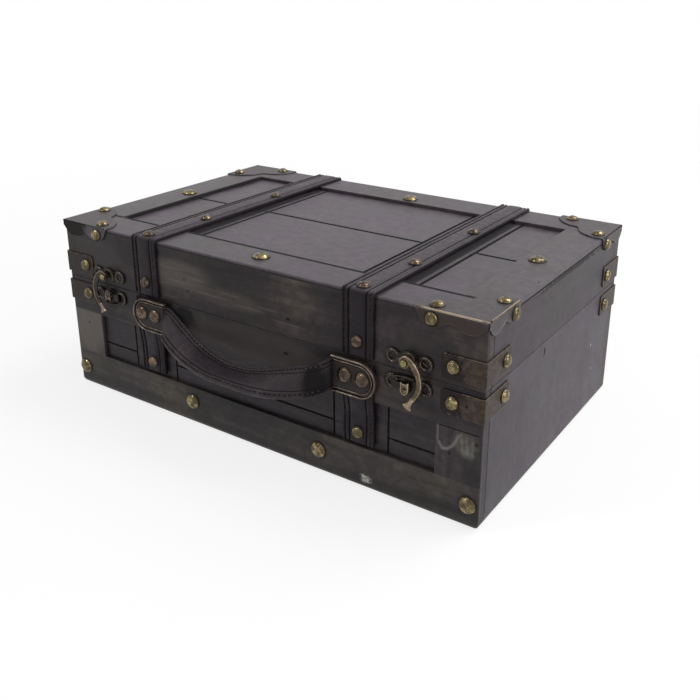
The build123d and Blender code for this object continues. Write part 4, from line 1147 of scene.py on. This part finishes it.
# %% The two lid straps
LEATHER = 2 * MM
HALF_STRAP = 10 * MM
for side, seed in (("left", 3.7), ("right", 9.2)):
    low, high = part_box("lid_strap_" + side)
    front, back, top = low.y + LEATHER, high.y - LEATHER, high.z - LEATHER
    corners = [(front, low.z), (front, top), (back, top), (back, low.z)]
    make_strap("lid_strap_sewn_" + side, corners, (low.x + high.x) / 2, 0.8 * MM, "lid", seed,
               "lid_strap_" + side)

# %% [markdown]
# Each base strap hangs from the seam down the front, and sinks a little where the panel lies
# behind the rail. At the back it is straight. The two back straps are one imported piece, so both
# new ones stand for it.

# %% The base straps
rail_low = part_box("front_top_rail")[0].z
for side, seed in (("left", 5.1), ("right", 7.7)):
    low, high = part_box("base_strap_" + side)
    front, sunk, foot = low.y + LEATHER, high.y, low.z
    level = rail_low - 0.35 * (rail_low - foot)
    corners = [(sunk, foot), (sunk, level), (front, rail_low), (front, high.z)]
    make_strap("base_strap_sewn_" + side, corners, (low.x + high.x) / 2, 3 * MM, "base", seed,
               "base_strap_" + side)
low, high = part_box("base_back_straps")
for side, middle, seed in (("left", low.x + HALF_STRAP, 1.3), ("right", high.x - HALF_STRAP, 2.6)):
    corners = [(low.y, high.z), (low.y, low.z)]
    make_strap("base_back_strap_sewn_" + side, corners, middle, 0, "base", seed, "base_back_straps")

# %% [markdown]
# The handle is two layers of leather sewn along both edges. It bows out from the front, sags, and
# leans its face up, so that the photograph shows only its outside. Years of carrying bent it
# unevenly: it leaves the right plate in a sharp fold that faces away from the light, and the left
# plate in a slow curve. Bow, sag and lean each follow a power of a sine, 0 at both ends and 1 in
# the middle, with one power for each half.

# %% Line of the handle
handle_low, handle_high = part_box("handle_strap")
plate_low, plate_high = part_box("handle_plate_left")
HANDLE_X0, HANDLE_X1 = handle_low.x, handle_high.x
HANDLE_THICK = 2.6 * MM
HANDLE_BACK = handle_high.y
HANDLE_MIDDLE = (plate_low.z + plate_high.z) / 2
BOW, SAG, LEAN = 14.6 * MM, 12.3 * MM, math.radians(83)
BOW_POWERS, SAG_POWERS, LEAN_POWERS = (0.94, 0.36), (0.94, 0.78), (0.36, 1.5)


def swing(share, powers):
    """0 at both ends and 1 in the middle, by a power of a sine for each half."""
    if not 0 < share < 1:
        return 0.0
    return math.sin(math.pi * share) ** powers[0 if share < 0.5 else 1]


def handle_place(share):
    return Vector((HANDLE_X0 + (HANDLE_X1 - HANDLE_X0) * share,
                   HANDLE_BACK - HANDLE_THICK / 2 - BOW * swing(share, BOW_POWERS),
                   HANDLE_MIDDLE - SAG * swing(share, SAG_POWERS)))


def handle_frame(share):
    """Place, width direction and outward direction of the handle at a share of its length."""
    lean = LEAN * swing(share, LEAN_POWERS)
    wide = Vector((0, math.sin(lean), math.cos(lean)))
    along = handle_place(min(share + 0.004, 1.0)) - handle_place(max(share - 0.004, 0.0))
    return handle_place(share), wide, along.cross(wide).normalized()


print("handle from", round(HANDLE_X0, 4), "to", round(HANDLE_X1, 4))

# %% [markdown]
# The handle's cross-section has the same folded edge, sewn groove and pressed line as the straps,
# but it has a back too, because the handle is seen from all sides. Soft ripples run along it, and
# fade out near the plates, which hold the leather flat.

# %% Cross-section of the handle
HANDLE_HALF = [(9.2, -0.6), (9.2, 0.5), (9.05, 1.0), (8.7, 1.26), (8.2, 1.28), (7.8, 1.1), (7.5, 0.78),
               (7.2, 0.62), (6.9, 0.74), (6.5, 1.0), (6.0, 1.1), (5.5, 1.06), (5.2, 0.9), (5.0, 0.85),
               (4.8, 0.92), (4.4, 1.08), (3.4, 1.16), (2.0, 1.2), (0.7, 1.22)]
HANDLE_UNDERSIDE = [(8.9, -1.1), (8.3, -1.28), (5.0, -1.2), (1.5, -1.25), (-1.5, -1.25), (-5.0, -1.2),
                    (-8.3, -1.28), (-8.9, -1.1)]
HANDLE_SECTION = mirrored(HANDLE_HALF) + HANDLE_UNDERSIDE
HANDLE_LINES = ((6.9, 7.5), (4.8, 5.2))
WIDE_RIPPLE, FINE_RIPPLE = 0.28, 0.16
FADE = 12


def handle_ring(share):
    place, wide, out = handle_frame(share)
    ring = []
    for across, up in HANDLE_SECTION:
        spot = Vector((share * 26, across * 0.16, 4.0))
        ripple = WIDE_RIPPLE * noise.noise(spot) + FINE_RIPPLE * noise.noise(spot * 2.7)
        fade = min(share, 1 - share) * FADE
        ring.append(place + wide * across * MM + out * (up + ripple * min(fade, 1.0)) * MM)
    return ring


def handle_shares(count):
    """Shares from end to end, closer together at the ends, where the handle bends most."""
    return [0.5 - 0.5 * math.cos(math.pi * k / count) for k in range(count + 1)]


print("handle section has", len(HANDLE_SECTION), "points")

# %% [markdown]
# When the handle is lifted, its two ends stay riveted in their plates and the leather twists
# between. The handle is made as two halves, split in the middle. Both halves are cut from one mesh
# and keep its normals, so that the cut doesn't show.

# %% The handle in two halves
STATIONS = 220


def twist_near_plate(made, side):
    """Bake the placement of one half of the handle into its mesh."""
    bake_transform(made)


rings = [handle_ring(share) for share in handle_shares(STATIONS)]
count = len(HANDLE_SECTION)
whole = piece("handle_sewn", band(rings), None, "dark_leather", 70, handle_leather)
normals = [corner.normal.copy() for corner in whole.data.vertices]
bpy.data.objects.remove(whole)
for side, first, last in (("left", 0, STATIONS // 2), ("right", STATIONS // 2, STATIONS)):
    half = piece("handle_sewn_" + side, band(rings[first:last + 1], closed_ends=False), None, "dark_leather",
                 180, handle_leather, pressed_and_shaded_leather)
    kept = normals[first * count:(last + 1) * count]
    face = half.data.polygons[count // 4]
    if face.normal.dot(kept[face.vertices[0]]) < 0:
        half.data.flip_normals()
    half.data.normals_split_custom_set_from_vertices(kept)
    shade(half, pressed(HANDLE_SECTION, HANDLE_LINES))
    twist_near_plate(half, side)
    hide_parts("handle_strap")
    print("handle", side, len(half.data.vertices), "points")

# %% [markdown]
# The thread of the handle is paler than that of the straps, and it lies in the groove beside each
# edge. It is cut in the middle as the leather is. The first few millimetres beside each plate have
# no stitches.

# %% Sewing of the handle
FINE, BARE = 600, 12
HANDLE_GROOVE, HANDLE_THREAD_UP = 7.2, 0.74
HANDLE_STITCH = (2.9, 2.0, 0.28)
left_shares = [0.5 * k / FINE for k in range(BARE, FINE + 1)]
right_shares = [0.5 + 0.5 * k / FINE for k in range(FINE - BARE + 1)]
for side, shares in (("left", left_shares), ("right", right_shares)):
    forms = []
    for across in (-HANDLE_GROOVE, HANDLE_GROOVE):
        track, aways = [], []
        for share in shares:
            place, wide, out = handle_frame(share)
            track.append(place + wide * across * MM + out * HANDLE_THREAD_UP * MM)
            aways.append(out)
        forms.extend(stitch_row(track, aways, HANDLE_STITCH, 11.0 + across))
    sewing = piece("handle_sewing_" + side, joined(forms), None, "dark_leather", 80, thread_pale)
    twist_near_plate(sewing, side)
    print("handle sewn", side, len(forms), "stitches")

# %% [markdown]
# The flat metal parts are drawn as outlines. A few measured points with a smooth line through
# them are enough for the wavy and lobed ones, and circles and straight runs do for the rest.

# %% Smooth outlines
def smooth_loop(points, closed=True, steps=6):
    """A smooth line through points (Catmull-Rom)."""
    points = [Vector(point) for point in points]
    count, line = len(points), []
    last = count if closed else count - 1
    for k in range(last):
        a = points[(k - 1) % count] if closed or k > 0 else points[0]
        b, c = points[k], points[(k + 1) % count]
        d = points[(k + 2) % count] if closed or k + 2 < count else points[-1]
        for j in range(steps):
            t = j / steps
            line.append(0.5 * (2 * b + (c - a) * t + (2 * a - 5 * b + 4 * c - d) * t ** 2
                               + (3 * b - a - 3 * c + d) * t ** 3))
    if not closed:
        line.append(points[-1])
    return line


def circle(radius, middle=(0.0, 0.0), sides=28, start=0.0, sweep=2 * math.pi):
    """Points of a circle, or of an arc where the sweep is less than a whole turn."""
    count = sides if sweep >= 6.28 else sides + 1
    return [Vector((middle[0] + radius * math.cos(start + sweep * k / sides),
                    middle[1] + radius * math.sin(start + sweep * k / sides))) for k in range(count)]


print("a screw's outline has", len(circle(2.0)), "points")

# %% [markdown]
# The outlines are cut from sheet. A Blender curve with a filled outline does that well: it takes
# an outline and holes, a thickness, and a small bevel that rounds the cut edge as filing does. The
# curve is then made a mesh. The flat form lies with its back at height 0, and stood() puts it in
# its place by three directions: right, up and out.

# %% Sheet metal from outlines
def cut_sheet(outlines, thick, round_edge):
    """Points and faces of a filed sheet: outlines in mm, its back at height 0."""
    curve = bpy.data.curves.new("sheet", "CURVE")
    curve.dimensions = "2D"
    curve.fill_mode = "BOTH"
    curve.bevel_depth = round_edge * MM
    curve.bevel_resolution = 2
    curve.extrude = (thick / 2 - round_edge) * MM
    curve.offset = -round_edge * MM
    for outline in outlines:
        spline = curve.splines.new("POLY")
        spline.points.add(len(outline) - 1)
        for target, point in zip(spline.points, outline):
            target.co = (point[0] * MM, point[1] * MM, 0, 1)
        spline.use_cyclic_u = True
    holder = bpy.data.objects.new("sheet", curve)
    mesh = bpy.data.meshes.new_from_object(holder)
    points = [corner.co + Vector((0, 0, thick / 2 * MM)) for corner in mesh.vertices]
    faces = [tuple(face.vertices) for face in mesh.polygons]
    bpy.data.objects.remove(holder)
    bpy.data.curves.remove(curve)
    bpy.data.meshes.remove(mesh)
    return points, faces


def stood(form, place, right, out, up=None):
    """Stand a flat form in the model: its x along right, its y along up, its height along out."""
    up = out.cross(right) if up is None else up
    points, faces = form
    return [place + right * point[0] + up * point[1] + out * point[2] for point in points], faces


def raised(form, height):
    return [Vector(point) + Vector((0, 0, height * MM)) for point in form[0]], form[1]


print("sheet helpers ready")

# %% [markdown]
# Stamped sheet gets its stiffness from raised beads. A bead is a half-round ridge that follows a
# flat line, or a round ring. Both are bands, like the straps.

# %% Beads
EIGHTHS = (0, 0.785, 1.57, 2.356, 3.14, 3.93, 4.71, 5.5)


def ring_bead(radius, thick, height, middle=(0.0, 0.0), sides=28):
    """A round bead lying on a plate, its middle line at a height."""
    rings = []
    for k in range(sides + 1):
        angle = 2 * math.pi * k / sides
        away = Vector((math.cos(angle), math.sin(angle), 0))
        heart = Vector((middle[0], middle[1], height)) + away * radius
        rings.append([(heart + (away * math.cos(a) + Vector((0, 0, 1)) * math.sin(a)) * thick) * MM
                      for a in EIGHTHS])
    return band(rings, closed_ends=False)


def bead_along(track, thick_out, thick_up, base):
    """A half-round bead along a flat track: its width is twice thick_out, its rise thick_up."""
    rings = []
    for k, point in enumerate(track):
        along = (track[min(k + 1, len(track) - 1)] - track[max(k - 1, 0)]).normalized()
        beside = Vector((along.y, -along.x, 0))
        ring = []
        for j in range(9):
            angle = math.pi * j / 8
            ring.append((Vector((point.x, point.y, base)) + beside * thick_out * math.cos(angle)
                         + Vector((0, 0, thick_up)) * math.sin(angle)) * MM)
        rings.append(ring)
    return band(rings)


print("bead helpers ready")

# %% [markdown]
# Each end of the handle is held by a D-shaped stamping: a thin floor with two raised rims, the
# outer one higher. The rims are half-round beads that follow the D from its open end round and
# back, each with its inset, half width and rise in mm. The floor's place and size are the packed
# plate's. The end of the handle lies inside, as a smaller D of leather.

# %% Handle plates
SIDES = (("left", -1), ("right", 1))
FRONT_OUT, UP = Vector((0, -1, 0)), Vector((0, 0, 1))
SHEET, FILED = 0.8, 0.2
RIM_BASE = 0.78
RIMS = ((0.72, 0.72, 1.8), (2.75, 0.55, 1.25))
TAB_THICK, TAB_FILED, TAB_BASE = 1.3, 0.4, 0.75
TAB_SHORTER, TAB_LOWER = 3.4, 6.6


def on_box(form, place, hand, up=None):
    """Stand a form on the box's front; hand -1 turns it round for the left side."""
    return stood(form, place, Vector((hand, 0, 0)), FRONT_OUT, up)


def d_track(length, height, inset, steps=26):
    """The D from its open end: along the lower side, round the far end, and back."""
    radius = height / 2 - inset
    centre = length - height / 2
    lower = [Vector((centre * k / 6, -radius)) for k in range(6)]
    bend = [Vector((centre + radius * math.sin(math.pi * k / steps), -radius * math.cos(math.pi * k / steps)))
            for k in range(steps + 1)]
    upper = [Vector((centre * (5 - k) / 6, radius)) for k in range(6)]
    return lower + bend + upper


for side, hand in SIDES:
    low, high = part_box("handle_plate_" + side)
    length, height = (high.x - low.x) / MM, (high.z - low.z) / MM
    place = Vector((low.x if hand > 0 else high.x, high.y, (low.z + high.z) / 2))
    plate_floor = cut_sheet([d_track(length, height, 0.0)], SHEET, FILED)
    rims = [bead_along(d_track(length, height, inset), half_wide, rise, RIM_BASE)
            for inset, half_wide, rise in RIMS]
    made = piece("handle_plate_beaded_" + side, on_box(joined([plate_floor] + rims), place, hand), "base",
                 "antique_brass", 50, plate_bronze, plate_rim)
    shade(made, lambda number: int(number >= len(plate_floor[1])))
    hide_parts("handle_plate_" + side)
    tab_outline = d_track(length - TAB_SHORTER, height - TAB_LOWER, 0.0)
    tab = raised(cut_sheet([tab_outline], TAB_THICK, TAB_FILED), TAB_BASE)
    made = piece("handle_tab_" + side, on_box(tab, place, hand), "base", "dark_leather", 40, tab_leather)
    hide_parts("handle_tabs")
    print("handle plate", side, round(length, 1), "by", round(height, 1), "mm")

# %% [markdown]
# A latch plate has a round lobe at each end with a screw, and a wider middle with a low boss, on
# which the horn turns. Each lobe has a hole and a raised ring. The catch below has the same plate,
# so its forms are made by a function.

# %% Latch plates
LOBE_OUT, HOLE_RADIUS = 9.6, 1.95
RING_RADIUS, RING_THICK, RING_HEIGHT = 3.15, 0.55, 0.95
LATCH_SHEET, LATCH_FILED = 1.0, 0.22
BOSS = [(4.0, 0.5), (3.9, 1.3), (3.4, 1.75), (3.0, 1.8)]
LOBED = [(0.0, 5.0), (2.6, 4.3), (4.3, 3.0), (5.4, 2.75), (6.4, 3.3), (7.8, 4.2), (9.6, 4.55), (11.6, 4.1),
         (13.3, 2.7), (14.15, 0.0)]


def lobed_outline():
    """The plate's outline: the lobes and the middle join the neck in small hollows."""
    top = LOBED + [(x, -y) for x, y in reversed(LOBED[:-1])]
    return smooth_loop(top + [(-x, y) for x, y in reversed(top[1:-1])], steps=4)


def plate_forms():
    middles = ((-LOBE_OUT, 0.0), (LOBE_OUT, 0.0))
    holes = [circle(HOLE_RADIUS, middle) for middle in middles]
    rings = [ring_bead(RING_RADIUS, RING_THICK, RING_HEIGHT, middle) for middle in middles]
    return [cut_sheet([lobed_outline()] + holes, LATCH_SHEET, LATCH_FILED)] + rings


def middle_of(name, axis):
    low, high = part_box(name)
    return (low[axis] + high[axis]) / 2


PLATE_X = {side: middle_of("latch_plate_" + side, 0) for side, hand in SIDES}
FRONT_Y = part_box("latch_plate_right")[1].y
LID_Z, BASE_Z = middle_of("latch_plate_right", 2), middle_of("latch_catch_right", 2)
for side, hand in SIDES:
    boss = turned([(radius * MM, rise * MM) for radius, rise in BOSS], 28, Vector((0, 0, 0)), UP)
    form = on_box(joined(plate_forms() + [boss]), Vector((PLATE_X[side], FRONT_Y, LID_Z)), hand)
    made = piece("latch_plate_ringed_" + side, form, "lid", "antique_brass", 45, latch_brass)
    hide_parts("latch_plate_" + side)
    print("latch plate", side, "at", round(PLATE_X[side], 4))

# %% [markdown]
# The screws are nearly black, and sit in the rings of the plates and in the hinge leaves. Their
# heads have a sawn slot, and no two slots stand at the same angle. The places come from the packed
# heads, in the same way as those of the tacks.

# %% Slotted screws
SLOT_HALF = 0.32


def slotted_screw(radius, rise, turn):
    """A screw head with a sawn slot: two half-moons on a low disc."""
    lean = math.asin(SLOT_HALF / radius)
    forms = [cut_sheet([circle(radius)], rise * 0.55, 0.12)]
    for half in (0.0, math.pi):
        moon = circle(radius, sides=14, start=turn + half + lean, sweep=math.pi - 2 * lean)
        forms.append(cut_sheet([moon], rise, FILED))
    return joined(forms)


SLOT_TURNS = {"latch_plate_screws": (0.5, 2.0, 1.1, 2.6), "latch_catch_screws": (1.7, 0.2, 2.4, 0.9),
              "hinge_lid_screws": (0.4, 1.9, 1.2, 2.5), "hinge_base_screws": (2.2, 0.7, 1.5, 0.1)}
for name, turns in SLOT_TURNS.items():
    forms = []
    for (seat, axis, radius, rise), slot_turn in zip(seats(name), turns):
        right = Vector((-axis.y, axis.x, 0)) if abs(axis.z) < 0.5 else Vector((1, 0, 0))
        forms.append(stood(slotted_screw(radius / MM, rise / MM, slot_turn), seat, right, axis))
    made = piece(name + "_slotted", joined(forms), body_of(name), "antique_brass", 40, screw_dark)
    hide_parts(name)
    print(name, len(forms), "heads")

# %% [markdown]
# The horn is cast: it starts round a rivet, swings out in a crescent with a raised outer edge, and
# ends in a flared foot like the bell of a trumpet. The crescent is drawn as two smooth lines, its
# outer and its inner edge, and skinned across with one cross-section.

# %% Form of a horn
HORN_OUTER = [(-2.5, 2.2), (-0.7, 3.8), (1.9, 4.15), (5.7, 1.9), (8.8, -2.7), (10.4, -8.5), (9.9, -13.4),
              (7.5, -17.9), (5.6, -20.4)]
HORN_INNER = [(-1.6, -0.6), (0.6, 0.4), (2.6, 0.3), (4.5, -2.6), (6.6, -5.9), (7.4, -9.8), (7.0, -13.2),
              (5.5, -16.6), (3.7, -19.0)]
HORN_SECTION = [(0.0, 0.35), (0.0, 1.0), (0.10, 1.22), (0.35, 1.25), (0.62, 1.22), (0.72, 1.45),
                (0.82, 1.75), (0.92, 1.72), (1.0, 1.35), (1.0, 0.35), (0.9, 0.0), (0.1, 0.0)]
HORN_FOOT = [(1.15, -1.2), (1.1, 0.4), (1.2, 1.5), (1.55, 2.7), (2.15, 3.7), (2.75, 4.3), (2.85, 4.65),
             (2.5, 4.9), (1.9, 4.75), (0.4, 4.6)]
FOOT_SIDES, FOOT_HEIGHT, FOOT_FLAT = 24, 0.95, 0.55
horn_edges = [smooth_loop(points, closed=False) for points in (HORN_OUTER, HORN_INNER)]


def horn_form():
    """The hook seen from the front, in mm: x towards its bulge, y up, its rivet at 0, 0."""
    outer, inner = horn_edges
    rings = [[Vector((*near.lerp(far, share), up)) * MM for share, up in HORN_SECTION]
             for far, near in zip(outer, inner)]
    eye = cut_sheet([circle(3.05)], 1.3, 0.3)
    heel = outer[-1].lerp(inner[-1], 0.5)
    down = Vector((-0.5, -0.866, 0))
    points, faces = turned([(radius * MM, along * MM) for radius, along in HORN_FOOT], FOOT_SIDES,
                           Vector((heel.x, heel.y, FOOT_HEIGHT)) * MM, down)
    level = FOOT_HEIGHT * MM
    flat = [Vector((point.x, point.y, (point.z - level) * FOOT_FLAT + level)) for point in points]
    return joined([band(rings), eye, (flat, faces)])


print("horn has", len(horn_form()[0]), "points")

# %% [markdown]
# Both hooks are the same casting, mirrored. Rubbing has left the raised edge of the crescent and
# the foot brighter than the rest, and the left hook is darker than the right one.

# %% Horn hooks
HORN_RIM = (5, 6, 7, 8)
CRESCENT_FACES = (len(horn_edges[0]) - 1) * len(HORN_SECTION)
FOOT_FACES = (len(HORN_FOOT) - 1) * FOOT_SIDES + 2
HOOK_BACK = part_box("latch_hook_right")[1].y
for side, hand in SIDES:
    form = on_box(horn_form(), Vector((PLATE_X[side], HOOK_BACK, LID_Z)), hand, UP)
    metals = (horn_brass, rim_brass) if hand > 0 else (horn_dark, horn_brass)
    made = piece("horn_hook_" + side, form, "hook_" + side, "antique_brass", 35, *metals, rim_brass)

    def horn_material(number):
        if number < CRESCENT_FACES and number % len(HORN_SECTION) in HORN_RIM:
            return 1
        return 2 if number >= len(form[1]) - FOOT_FACES else 0

    shade(made, horn_material)
    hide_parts("latch_hook_" + side)
    print("horn hook", side, len(form[0]), "points")

# %% [markdown]
# The rivet that a hook turns on is one low dome in front of the eye, on a shank that runs back
# into the plate. It is turned, as the tacks are, but smooth.

# %% Hook rivets
SHANK_RADIUS, EYE_FRONT = 0.95, HOOK_BACK - 1.45 * MM
RIVET = [(1.0, 0.0), (1.95, 0.0), (2.0, 0.35), (1.8, 0.8), (1.4, 1.15), (0.8, 1.35), (0.3, 1.4)]
shank = [(SHANK_RADIUS, (EYE_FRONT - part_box("latch_pivots")[1].y) / MM)]
profile = [(radius * MM, along * MM) for radius, along in shank + RIVET]
forms = [turned(profile, 24, Vector((PLATE_X[side], EYE_FRONT, LID_Z)), FRONT_OUT) for side, hand in SIDES]
made = piece("latch_pivots_domed", joined(forms), "lid", "antique_brass", 50, rivet_brass)
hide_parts("latch_pivots")
print("hook rivets at", round(LID_Z, 4))

# %% [markdown]
# The catch on the base is a plate like the one above it. Its upper edge is folded forward to a lip.
# In front of it stands a small shield on an arm: the horn swings round the shield and is held by
# it. Each part is a sheet of its own thickness, raised to its own height, all in mm. The shield and
# its bead are paler than the plate.

# %% Latch catches
SHIELD = [(-2.9, 2.2), (-1.7, 1.6), (-0.4, 1.45), (0.9, 1.8), (2.0, 2.6), (1.75, 0.6), (1.9, -1.6),
          (1.0, -3.9), (-0.5, -4.8), (-2.0, -4.1), (-2.9, -2.2), (-2.5, 0.2)]
ARM = [(-8.4, 1.9), (-7.3, 2.3), (-5.6, 1.3), (-2.2, 0.9), (-2.2, -2.4), (-5.2, -2.3), (-8.0, -2.9),
       (-8.9, -1.0)]
LIP = [(-9.2, 3.6), (-6.0, 4.3), (-2.5, 4.8), (1.0, 4.9), (4.0, 4.5)]
HEART = (-0.5, -1.2)
outline = smooth_loop(SHIELD, steps=4)
rim = [point.lerp(Vector(HEART), 0.12) for point in outline]
shield = raised(cut_sheet([outline], 1.0, 0.25), 2.4)
shield_bead = bead_along(rim + rim[:2], 0.42, 0.45, 3.3)
stud = raised(cut_sheet([circle(0.9, (-0.5, -1.1), 16)], 0.5, 0.2), 3.2)
arm = raised(cut_sheet([smooth_loop(ARM, steps=4)], 0.9, 0.3), 1.5)
post = raised(cut_sheet([circle(1.6, HEART, 16)], 1.6, 0.1), 0.9)
lip = bead_along(smooth_loop(LIP, closed=False), 0.5, 1.5, 0.9)
forms = plate_forms() + [shield, shield_bead, stud, arm, post, lip]
shield_start, bead_start, bead_end = [sum(len(form[1]) for form in forms[:k]) for k in (3, 4, 5)]
for side, hand in SIDES:
    place = Vector((PLATE_X[side], FRONT_Y, BASE_Z))
    metals = (horn_brass, rim_brass) if hand > 0 else (horn_dark, horn_brass)
    made = piece("latch_catch_shield_" + side, on_box(joined(forms), place, hand), "base", "antique_brass",
                 45, latch_brass, *metals)
    shade(made, lambda number: (number >= shield_start) + (number >= bead_start) if number < bead_end else 0)
    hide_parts("latch_catch_" + side)
    print("catch", side, "at", [round(value, 4) for value in place])

# %% [markdown]
# A corner cap is one sheet folded three ways: a top plate with a wavy long edge, and two flanges
# with a scalloped lower edge. Each of the three is cut from its outline, and a thin bead follows the
# scallops, where the stamping tool raised the edge.

# %% Forms of a corner cap
CAP_LONG, CAP_SHORT, CAP_DROP, CAP_CLIP = 39.0, 35.0, 8.6, 5.5
CAP_FILED = 0.18
BEAD_IN, BEAD_HALF_WIDE, BEAD_RISE = 0.5, 0.42, 0.35
SCALLOP = [(0.0, 0.36), (0.05, 0.62), (0.12, 0.88), (0.21, 1.0), (0.33, 0.93), (0.42, 0.72), (0.49, 0.60),
           (0.56, 0.70), (0.65, 0.92), (0.75, 1.0), (0.86, 0.90), (0.94, 0.58), (1.0, 0.02)]
WAVE = [(0.0, 0.0), (0.10, 0.03), (0.22, 0.05), (0.35, 0.035), (0.5, -0.03), (0.65, 0.035), (0.78, 0.05),
        (0.90, 0.03), (1.0, 0.0)]


def flange_forms(leg):
    """A flange in mm: x from the corner along the wood, y up, and 0, 0 at the corner of the wood."""
    points = [(share * leg, -fall * CAP_DROP) for share, fall in SCALLOP]
    edge = smooth_loop(points, closed=False, steps=4)
    outline = edge + [Vector((leg, SHEET)), Vector((-SHEET, SHEET)), Vector((-SHEET, edge[0].y))]
    inner = [point + Vector((0, BEAD_IN)) for point in edge]
    bead = bead_along(inner, BEAD_HALF_WIDE, BEAD_RISE, SHEET - 0.1)
    return [cut_sheet([outline], SHEET, CAP_FILED), bead]


def cap_top_form():
    """The top plate in mm: x and y from the corner along the two edges of the lid."""
    first, last = Vector((CAP_LONG, CAP_CLIP)), Vector((CAP_CLIP, CAP_SHORT))
    along = last - first
    across = Vector((along.y, -along.x))
    wave = smooth_loop([first + along * run + across * lift for run, lift in WAVE], closed=False, steps=4)
    outline = wave + [Vector((0, CAP_SHORT)), Vector((-SHEET, CAP_SHORT)), Vector((-SHEET, -SHEET)),
                      Vector((CAP_LONG, -SHEET))]
    return cut_sheet([outline], SHEET, CAP_FILED)


print("cap legs", CAP_LONG, "and", CAP_SHORT, "mm")

# %% [markdown]
# The four caps are the same sheet turned and mirrored. For each corner, three directions say where
# the forms go: along the front, along the side, and up.

# %% Corner caps
for end, face in (("front", -1), ("back", 1)):
    for side, hand in SIDES:
        low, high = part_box("corner_cap_" + end + "_" + side)
        corner = Vector(((high.x if hand > 0 else low.x) - hand * SHEET * MM,
                         (low.y if face < 0 else high.y) - face * SHEET * MM, high.z - SHEET * MM))
        along_x, along_y = Vector((-hand, 0, 0)), Vector((0, -face, 0))
        forms = [stood(form, corner, along_x, -along_y, UP) for form in flange_forms(CAP_LONG)]
        forms += [stood(form, corner, along_y, -along_x, UP) for form in flange_forms(CAP_SHORT)]
        forms.append(stood(cap_top_form(), corner, along_x, UP, along_y))
        made = piece("corner_cap_folded_" + end + "_" + side, joined(forms), "lid", "bronze_sheet", 40,
                     cap_sheet)
        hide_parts("corner_cap_" + end + "_" + side)
        print("cap", end, side)

# %% [markdown]
# The corner brackets and the leaves and pins of the hinges are plain folded sheet, and the packed
# form has all that they need. They only get their metal.

# %% Metal pieces that keep their packed form
for name in nodes:
    if "bracket" in name:
        finish(bronze_sheet, name)
    elif "hinge" in name:
        finish(latch_brass, name)
print("packed metal finished")

# %% [markdown]
# The floor is plain and nearly white. To the camera, and in reflections, it shows mostly a white of
# strength 1, and the rest is lit like any surface, so the soft shadow of the box stays.

# %% Floor
def seen_directly(tree):
    """1 for what the camera sees, also in a gloss or through glass."""
    path = put(tree, "ShaderNodeLightPath").outputs
    seen = maths(tree, "MAXIMUM", path["Is Camera Ray"], path["Is Glossy Ray"])
    return maths(tree, "MAXIMUM", seen, path["Is Transmission Ray"])


REACH = 30.0
BELOW = 0.0002
SHADOW_FROM, SHADOW_TO, LEAST_WHITE = 0.25, 0.9, 0.80
floor_mesh = bpy.data.meshes.new("floor")
floor_mesh.from_pydata([(-REACH, -REACH, 0), (REACH, -REACH, 0), (REACH, REACH, 0), (-REACH, REACH, 0)],
                       [], [(0, 1, 2, 3)])
floor = bpy.data.objects.new("floor", floor_mesh)
bpy.context.scene.collection.objects.link(floor)
floor.location.z = -BELOW
pale = bpy.data.materials.new("pale_floor")
pale.use_nodes = True
tree = pale.node_tree
tree.nodes.clear()
matt = put(tree, "ShaderNodeBsdfDiffuse", {"Color": (0.86, 0.86, 0.86, 1)})
white = put(tree, "ShaderNodeEmission", {"Color": (1, 1, 1, 1), "Strength": 1.0})
distance = vectors(tree, "LENGTH", put(tree, "ShaderNodeTexCoord").outputs["Object"])
whiteness = between(tree, distance, SHADOW_FROM, SHADOW_TO, LEAST_WHITE, 1.0)
share = times(tree, seen_directly(tree), whiteness)
mixed = put(tree, "ShaderNodeMixShader", {0: share, 1: matt.outputs[0], 2: white.outputs[0]})
put(tree, "ShaderNodeOutputMaterial", {"Surface": mixed.outputs[0]})
floor_mesh.materials.append(pale)
print("floor", 2 * REACH, "m wide")

# %% [markdown]
# The light is soft and plain: an even grey sky, and three lamps. A large one above and behind, on
# the right, and one at the right make the top and the right side paler than the front. A small weak
# one in front puts the points of light on the tacks. The camera sees the sky as white.

# %% World and lamps
SKY_STRENGTH = 0.42
world = bpy.data.worlds.new("studio")
bpy.context.scene.world = world
world.use_nodes = True
tree = world.node_tree
tree.nodes.clear()
sky = put(tree, "ShaderNodeBackground", {"Color": (1, 1, 1, 1), "Strength": SKY_STRENGTH})
shown = put(tree, "ShaderNodeBackground", {"Color": (1, 1, 1, 1), "Strength": 1.0})
mixed = put(tree, "ShaderNodeMixShader", {0: seen_directly(tree), 1: sky.outputs[0], 2: shown.outputs[0]})
put(tree, "ShaderNodeOutputWorld", {"Surface": mixed.outputs[0]})


def softbox(name, place, aim, size, watts):
    data = bpy.data.lights.new(name, "AREA")
    data.shape = "SQUARE"
    data.size = size
    data.energy = watts
    lamp = bpy.data.objects.new(name, data)
    bpy.context.scene.collection.objects.link(lamp)
    lamp.location = place
    lamp.rotation_euler = (Vector(aim) - Vector(place)).to_track_quat("-Z", "Y").to_euler()
    print(name, watts, "W")


softbox("lamp_over", (0.9, 0.9, 1.9), (0, 0, 0.05), 1.4, 38)
softbox("lamp_right", (1.7, -0.1, 0.7), (0.1, 0, 0.05), 1.0, 12)
softbox("lamp_front", (-0.75, -1.05, 1.45), (0, 0, 0.05), 0.3, 6)
bpy.context.scene.view_settings.view_transform = "Standard"
print("light set")
